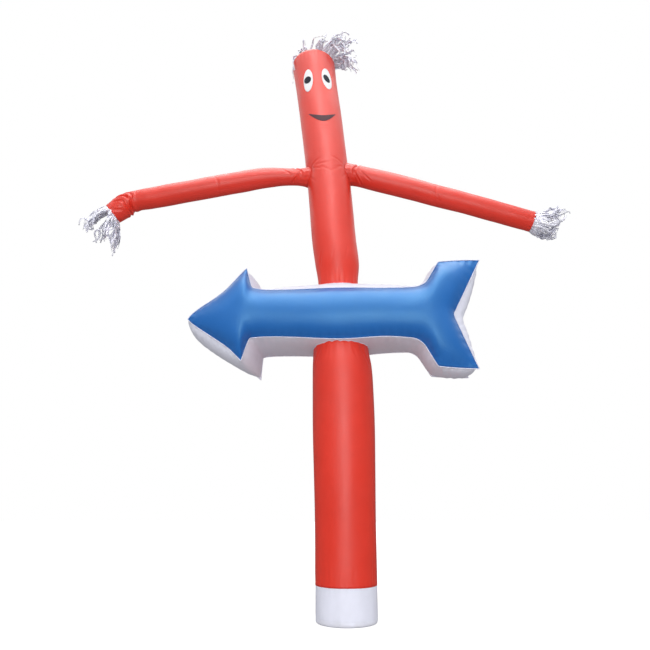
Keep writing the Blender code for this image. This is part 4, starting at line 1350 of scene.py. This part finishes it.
def make_oval(patch, out, material):
    """An oval patch that follows the head."""
    radius = body_radius(patch.angle - math.pi / 2.0, patch.z)
    points = [face_place(patch.angle, patch.z, out)]
    for ring in range(1, PATCH_RINGS + 1):
        share = ring / PATCH_RINGS
        for spoke in range(PATCH_SPOKES):
            turn = math.tau * spoke / PATCH_SPOKES
            across = patch.half_width * share * math.cos(turn)
            up = patch.half_height * share * math.sin(turn)
            across -= up * patch.tilt
            points.append(face_place(patch.angle + across / radius, patch.z + up, out))
    faces = []
    for spoke in range(PATCH_SPOKES):
        after = (spoke + 1) % PATCH_SPOKES
        faces.append((0, 1 + spoke, 1 + after))
        for ring in range(PATCH_RINGS - 1):
            low = 1 + ring * PATCH_SPOKES
            high = low + PATCH_SPOKES
            faces.append((low + spoke, high + spoke, high + after, low + after))
    oval = add_object(patch.name + "_patch", points, faces, material)
    thicken(oval, PATCH_CLOTH, 1.0)
    finish_piece(oval, patch.name)


def mouth_edges(share):
    """The mouth's angle, lower edge and upper edge at a share of its width."""
    angle = MOUTH_FROM + (MOUTH_TO - MOUTH_FROM) * share
    drop = math.sin(math.pi * share)
    low_corner = MOUTH_CORNER_Z - MOUTH_CORNER_HEIGHT
    low = low_corner + (MOUTH_LOW_Z - low_corner) * drop
    return angle, low, MOUTH_CORNER_Z + (MOUTH_TOP_Z - MOUTH_CORNER_Z) * drop


def make_mouth():
    """The smiling mouth, a crescent that follows the head."""
    points = []
    for column in range(MOUTH_COLUMNS + 1):
        angle, low, top = mouth_edges(column / MOUTH_COLUMNS)
        for row in range(MOUTH_ROWS + 1):
            points.append(face_place(angle, low + (top - low) * row / MOUTH_ROWS, PATCH_GAP))
    faces = grid_faces(MOUTH_COLUMNS + 1, MOUTH_ROWS + 1, False, True)
    mouth = add_object("mouth_patch", points, faces, MOUTH_PRINT)
    thicken(mouth, PATCH_CLOTH, 1.0)
    finish_piece(mouth, "mouth")


# Ribbons

def lock_at(locks, angle):
    """Reads a lock table at an angle in degrees, round the whole ring."""
    rows = sorted(locks, key=lambda lock: lock.angle)
    turn_before = rows[-1]._replace(angle=rows[-1].angle - 360)
    turn_after = rows[0]._replace(angle=rows[0].angle + 360)
    wrapped = [turn_before] + rows + [turn_after]
    while angle < wrapped[0].angle:
        angle += 360
    while angle > wrapped[-1].angle:
        angle -= 360
    for before, after in zip(wrapped, wrapped[1:]):
        if before.angle <= angle <= after.angle:
            t = (angle - before.angle) / (after.angle - before.angle)
            return Lock(angle, *(a + (b - a) * t for a, b in zip(before[1:], after[1:])))
    return rows[0]


def add_strip(points, faces, path, across, width, twist, wander):
    """Adds one ribbon that follows a path, as a thin strip that turns and crumples."""
    ring = None
    for step, spot in enumerate(path):
        t = step / RIBBON_STEPS
        heading = (path[max(step, 1)] - path[max(step, 1) - 1]).normalized()
        side_way = (across - heading * across.dot(heading)).normalized()
        face_way = side_way.cross(heading)
        turn = twist * t + 2.2 * t * noise.noise(Vector((wander, 4.0 * t, 0.0)))
        side = side_way * math.cos(turn) + face_way * math.sin(turn)
        front = face_way * math.cos(turn) - side_way * math.sin(turn)
        half = 0.5 * width * (1.0 - 0.45 * t ** 3)
        half *= 1.0 + 0.40 * noise.noise(Vector((wander, 8.0 * t, 5.0)))
        thin = 0.5 * RIBBON_THICKNESS
        first = len(points)
        for over, deep in ((-half, thin), (half, thin), (half, -thin), (-half, -thin)):
            points.append(spot + side * over + front * deep)
        new = [first, first + 1, first + 2, first + 3]
        if ring is None:
            faces.append(tuple(reversed(new)))
        else:
            for corner in range(4):
                after = (corner + 1) % 4
                faces.append((ring[corner], ring[after], new[after], new[corner]))
        ring = new
    faces.append(tuple(ring))


def make_streamers(bunch, middle, way, right_way, radius):
    """A tape ring with a bunch of loose ribbons that gather into clumps."""
    shuffle = random.Random(bunch.seed)
    up_way = way.cross(right_way)
    down = Vector((0.0, 0.0, -1.0))
    points = []
    faces = []

    def out_way(angle):
        return math.cos(angle) * right_way + math.sin(angle) * up_way

    for side in range(RING_SEGMENTS):
        out = out_way(math.tau * side / RING_SEGMENTS)
        inner = radius - RING_THICKNESS
        for reach, height in ((radius, 0.0), (radius, RING_HEIGHT), (inner, RING_HEIGHT), (inner, 0.0)):
            points.append(middle + out * reach + way * height)
        here = side * 4
        there = ((side + 1) % RING_SEGMENTS) * 4
        for corner in range(4):
            after = (corner + 1) % 4
            faces.append((here + corner, there + corner, there + after, here + after))

    def ribbon_path(angle, stretch):
        lock = lock_at(bunch.locks, math.degrees(angle))
        out = out_way(angle)
        root = middle + out * (radius - 0.5 * RING_THICKNESS) + way * 0.5 * RING_HEIGHT
        path = []
        for step in range(RIBBON_STEPS + 1):
            t = step / RIBBON_STEPS
            ahead = way * lock.length * stretch * math.sin(t * RIBBON_BOW) / math.sin(RIBBON_BOW)
            aside = out * lock.flare * stretch * t * (2.0 - t)
            fall = (down * lock.fall + bunch.sway * lock.length) * stretch * t * t
            path.append(root + ahead + aside + fall)
        return path

    clumps = [math.radians(clump) for clump in bunch.clumps]
    for index in range(bunch.ribbons):
        angle = math.tau * (index + shuffle.uniform(-0.4, 0.4)) / bunch.ribbons
        keep = shuffle.random() < bunch.thin_share
        if not keep and abs(math.remainder(angle, math.tau)) > THICK_SIDE:
            continue
        clump = min(clumps, key=lambda centre: abs(math.remainder(angle - centre, math.tau)))
        stretch = shuffle.uniform(*RIBBON_LENGTHS)
        own = ribbon_path(angle, stretch)
        shared = ribbon_path(clump, stretch)
        wander = shuffle.uniform(0.0, 90.0)
        pull = bunch.pull * shuffle.uniform(0.5, 1.15)
        droop = down * bunch.droop * shuffle.uniform(-0.3, 1.0)
        path = []
        for step, (mine, theirs) in enumerate(zip(own, shared)):
            t = step / RIBBON_STEPS
            sway = Vector([noise.noise(Vector((wander, 3.2 * t, 11.0 * axis))) for axis in range(3)])
            path.append(mine.lerp(theirs, pull * t * (2.0 - t)) + sway * 0.070 * t + droop * t ** 3)
        across = way.cross(out_way(angle))
        width = shuffle.uniform(*RIBBON_WIDTHS)
        twist = shuffle.uniform(-RIBBON_TWIST, RIBBON_TWIST)
        add_strip(points, faces, path, across, width, twist, wander)
    streamers = add_object(bunch.name, points, faces, SILVER)
    finish_piece(streamers, bunch.node)
    return streamers


# Piping and stitches

def make_piping(name, line, material):
    """A thin round piping along a closed seam; the line gives each place and the way outwards there."""
    points = []
    faces = []
    count = len(line)
    for order, (spot, out) in enumerate(line):
        along = (line[(order + 1) % count][0] - line[order - 1][0]).normalized()
        out = (out - along * out.dot(along)).normalized()
        across = along.cross(out)
        for side in range(WELT_SIDES):
            turn = math.tau * side / WELT_SIDES
            points.append(spot + WELT_RADIUS * (math.cos(turn) * out + math.sin(turn) * across))
        here = order * WELT_SIDES
        there = ((order + 1) % count) * WELT_SIDES
        for side in range(WELT_SIDES):
            beside = (side + 1) % WELT_SIDES
            faces.append((here + side, here + beside, there + beside, there + side))
    piping = add_object(name, points, faces, material)
    finish_piece(piping, None)


def ring_row(point_at, z):
    """A row of places round an upright tube, with the outward ways there."""
    row = []
    for step in range(SEAM_STEPS + 1):
        angle = math.tau * step / SEAM_STEPS
        row.append((point_at(angle, z, THREAD_LIFT), Vector((math.cos(angle), math.sin(angle), 0.0))))
    return row


def upright_row(angle, low, high):
    """A row of places up the body."""
    row = []
    for step in range(SEAM_STEPS + 1):
        z = low + (high - low) * step / SEAM_STEPS
        row.append((folded_point(angle, z, THREAD_LIFT), Vector((math.cos(angle), math.sin(angle), 0.0))))
    return row


def add_stitch(points, faces, start, finish, out):
    """Adds one stitch, a short thread that dips into the cloth at both ends."""
    along = (finish - start).normalized()
    across = along.cross(out).normalized()
    first = len(points)
    points.append(start - out * STITCH_RADIUS)
    for share in (0.2, 0.8):
        middle = start.lerp(finish, share)
        for side in range(STITCH_SIDES):
            turn = math.tau * side / STITCH_SIDES
            points.append(middle + STITCH_RADIUS * (math.cos(turn) * out + math.sin(turn) * across))
    points.append(finish - out * STITCH_RADIUS)
    last = len(points) - 1
    for side in range(STITCH_SIDES):
        here = first + 1 + side
        beside = first + 1 + (side + 1) % STITCH_SIDES
        faces.append((first, beside, here))
        faces.append((here, beside, beside + STITCH_SIDES, here + STITCH_SIDES))
        faces.append((here + STITCH_SIDES, beside + STITCH_SIDES, last))


def make_stitches(name, rows, material):
    """All the stitches along some rows, as one piece."""
    points = []
    faces = []
    for row in rows:
        travel = 0.0
        begin = 0.0
        start = None
        for (here, _), (there, out) in zip(row, row[1:]):
            length = (there - here).length
            while length > 0.0:
                target = begin if start is None else begin + STITCH_LENGTH
                if travel + length < target:
                    break
                spot = here.lerp(there, (target - travel) / length)
                if start is None:
                    start = spot
                else:
                    add_stitch(points, faces, start, spot, out)
                    start = None
                    begin += STITCH_PITCH
            travel += length
    stitches = add_object(name, points, faces, material)
    finish_piece(stitches, None)


def oval_row(patch, share, out):
    """A row of places round an eye patch, just inside its edge."""
    radius = body_radius(patch.angle - math.pi / 2.0, patch.z)
    row = []
    for spoke in range(PATCH_SPOKES + 1):
        turn = math.tau * spoke / PATCH_SPOKES
        up = patch.half_height * share * math.sin(turn)
        across = patch.half_width * share * math.cos(turn) - up * patch.tilt
        spot = face_place(patch.angle + across / radius, patch.z + up, out)
        row.append((spot, Vector((spot.x - body_axis(spot.z), spot.y, 0.0)).normalized()))
    return row


def mouth_row(out):
    """A row of places round the mouth, just inside its edge."""
    row = []
    for upper in (True, False):
        columns = range(MOUTH_COLUMNS + 1) if upper else range(MOUTH_COLUMNS, -1, -1)
        for column in columns:
            angle, low, top = mouth_edges(column / MOUTH_COLUMNS)
            inset = min(0.004, 0.3 * (top - low))
            spot = face_place(angle, top - inset if upper else low + inset, out)
            row.append((spot, Vector((spot.x - body_axis(spot.z), spot.y, 0.0)).normalized()))
    return row


# Studio

def make_floor():
    """A plain pale floor that meets the background."""
    material, _, shader = new_material("floor_finish")
    shader.inputs["Base Color"].default_value = (0.80, 0.80, 0.80, 1.0)
    shader.inputs["Roughness"].default_value = 0.9
    shader.inputs["Specular IOR Level"].default_value = 0.0
    shader.inputs["Emission Color"].default_value = (1.0, 1.0, 1.0, 1.0)
    shader.inputs["Emission Strength"].default_value = 0.55
    size = 60.0
    floor = add_object("floor", [(-size, -size, 0), (size, -size, 0), (size, size, 0), (-size, size, 0)],
                       [(0, 1, 2, 3)], material)
    floor.visible_diffuse = False
    floor.visible_glossy = False


def area_light(name, place, target, width, height, power, shines):
    """A soft box that looks at a point; it lights the cloth, or only shines in it."""
    light = bpy.data.lights.new(name, "AREA")
    light.shape = "RECTANGLE"
    light.size = width
    light.size_y = height
    light.energy = power
    item = bpy.data.objects.new(name, light)
    item.location = Vector(place) + BASE
    aim = Vector(target) - Vector(place)
    item.rotation_euler = aim.to_track_quat("-Z", "Y").to_euler()
    item.visible_camera = False
    item.visible_diffuse = not shines
    item.visible_glossy = shines
    bpy.context.scene.collection.objects.link(item)


def make_world():
    """A white studio, dimmer from below; what shines in the cloth has its own tones, by height."""
    world = bpy.data.worlds.new("studio")
    bpy.context.scene.world = world
    world.use_nodes = True
    tree = world.node_tree
    output = tree.nodes["World Output"]
    lighting = tree.nodes["Background"]
    places = tree.nodes.new("ShaderNodeTexCoord")
    split = tree.nodes.new("ShaderNodeSeparateXYZ")
    tree.links.new(places.outputs["Generated"], split.inputs[0])
    climb = math_node(tree, "MULTIPLY_ADD", split.outputs["Z"], 0.5, 0.5)
    path = tree.nodes.new("ShaderNodeLightPath")
    plain, shining = (
        ramp(tree, climb, [(place, grey(tone / SHINE_SCALE)) for place, tone in tones])
        for tones in (WORLD_TONES, SHINE_TONES))
    tone = mixed(tree, path.outputs["Is Glossy Ray"], plain, shining)
    tree.links.new(tone, lighting.inputs["Color"])
    lighting.inputs["Strength"].default_value = SHINE_SCALE
    seen = tree.nodes.new("ShaderNodeBackground")
    seen.inputs["Color"].default_value = (1.0, 1.0, 1.0, 1.0)
    choose = tree.nodes.new("ShaderNodeMixShader")
    tree.links.new(path.outputs["Is Camera Ray"], choose.inputs["Fac"])
    tree.links.new(lighting.outputs[0], choose.inputs[1])
    tree.links.new(seen.outputs[0], choose.inputs[2])
    tree.links.new(choose.outputs[0], output.inputs["Surface"])


def make_camera():
    """The camera, low in front of the figure and looking up."""
    camera = bpy.data.cameras.new("camera")
    camera.sensor_width = SENSOR
    camera.sensor_height = SENSOR
    camera.sensor_fit = "HORIZONTAL"
    camera.lens = FOCAL_PIXELS * SENSOR / IMAGE_SIZE
    item = bpy.data.objects.new("camera", camera)
    item.location = CAMERA_PLACE + BASE
    item.rotation_euler = (math.pi / 2.0 + CAMERA_PITCH, 0.0, 0.0)
    bpy.context.scene.collection.objects.link(item)
    bpy.context.scene.camera = item


make_camera()
make_world()
make_floor()
area_light("key", (-0.2, -8.0, 1.8), (0.0, 0.0, 1.3), 6.0, 6.0, 360.0, False)
area_light("overhead_shine", (-0.3, -2.2, 9.5), (-0.3, -2.2, 0.0), 8.0, 7.5, 760.0, True)
area_light("front_low_shine", (-0.35, -8.0, 1.75), (0.0, 0.0, 1.2), 1.1, 4.0, 150.0, True)
area_light("front_high_shine", (-0.35, -7.0, 9.2), (0.0, 0.0, 4.0), 1.3, 5.6, 250.0, True)
bpy.context.scene.view_settings.view_transform = "Standard"
bpy.context.scene.view_settings.look = "None"

make_cuff()
make_lower_tube()
crown_middle = Vector((body_axis(CROWN_TOP), 0.0, CROWN_TOP + HAIR_RING_GAP))
make_upper_tube(make_streamers(HAIR, crown_middle, Vector((0.0, 0.0, 1.0)), Vector((1.0, 0.0, 0.0)),
                               HAIR_RING_RADIUS))
welts, arrow_rows = make_arrow()
for name, line in welts.items():
    make_piping(name, line, WHITE)

red_rows = [
    ring_row(folded_point, CUFF_HEIGHT + STITCH_INSET),
]
for low, high in ((CUFF_HEIGHT, LOWER_SEAM_TOP), (UPPER_SEAM_FOOT, CROWN_TOP - CROWN_EDGE_RADIUS)):
    for aside in (-BACK_SEAM_HALF, BACK_SEAM_HALF):
        red_rows.append(upright_row(math.pi / 2.0 + aside, low, high))
for bunch, name, sections, creases in (
        (LEFT_HAND, "arm_left", LEFT_ARM, LEFT_ARM_CREASES),
        (RIGHT_HAND, "arm_right", RIGHT_ARM, RIGHT_ARM_CREASES)):
    place, length = arm_reader(sections)
    middle, way, radius = place(length)
    right_way = Vector((0.0, 1.0, 0.0)) if way.x < 0.0 else Vector((0.0, -1.0, 0.0))
    streamers = make_streamers(bunch, middle - way * (RING_HEIGHT - HAND_RING_PROUD), way, right_way,
                               radius - HAND_RING_INSET)
    red_rows += make_arm(name + "_cloth", name, sections, creases)
make_stitches("red_stitches", red_rows, RED_THREAD)
make_stitches("blue_stitches", arrow_rows["blue"], BLUE_THREAD)
white_rows = [ring_row(cuff_point, CUFF_HEIGHT - STITCH_INSET), ring_row(cuff_point, CUFF_HEM_ROW)]
make_stitches("white_stitches", white_rows + arrow_rows["white"], WHITE_THREAD)

for patch in EYE_WHITES:
    make_oval(patch, PATCH_GAP, EYE_PRINT)
for patch in PUPILS:
    make_oval(patch, 2.0 * PATCH_GAP + PATCH_CLOTH, PUPIL_PRINT)
make_mouth()
eye_rows = [oval_row(patch, 0.93, PATCH_GAP + PATCH_CLOTH) for patch in EYE_WHITES]
make_stitches("eye_stitches", eye_rows, WHITE_THREAD)
dark_rows = [oval_row(patch, 0.90, 2.0 * (PATCH_GAP + PATCH_CLOTH)) for patch in PUPILS]
dark_rows.append(mouth_row(PATCH_GAP + PATCH_CLOTH))
make_stitches("dark_stitches", dark_rows, DARK_THREAD)
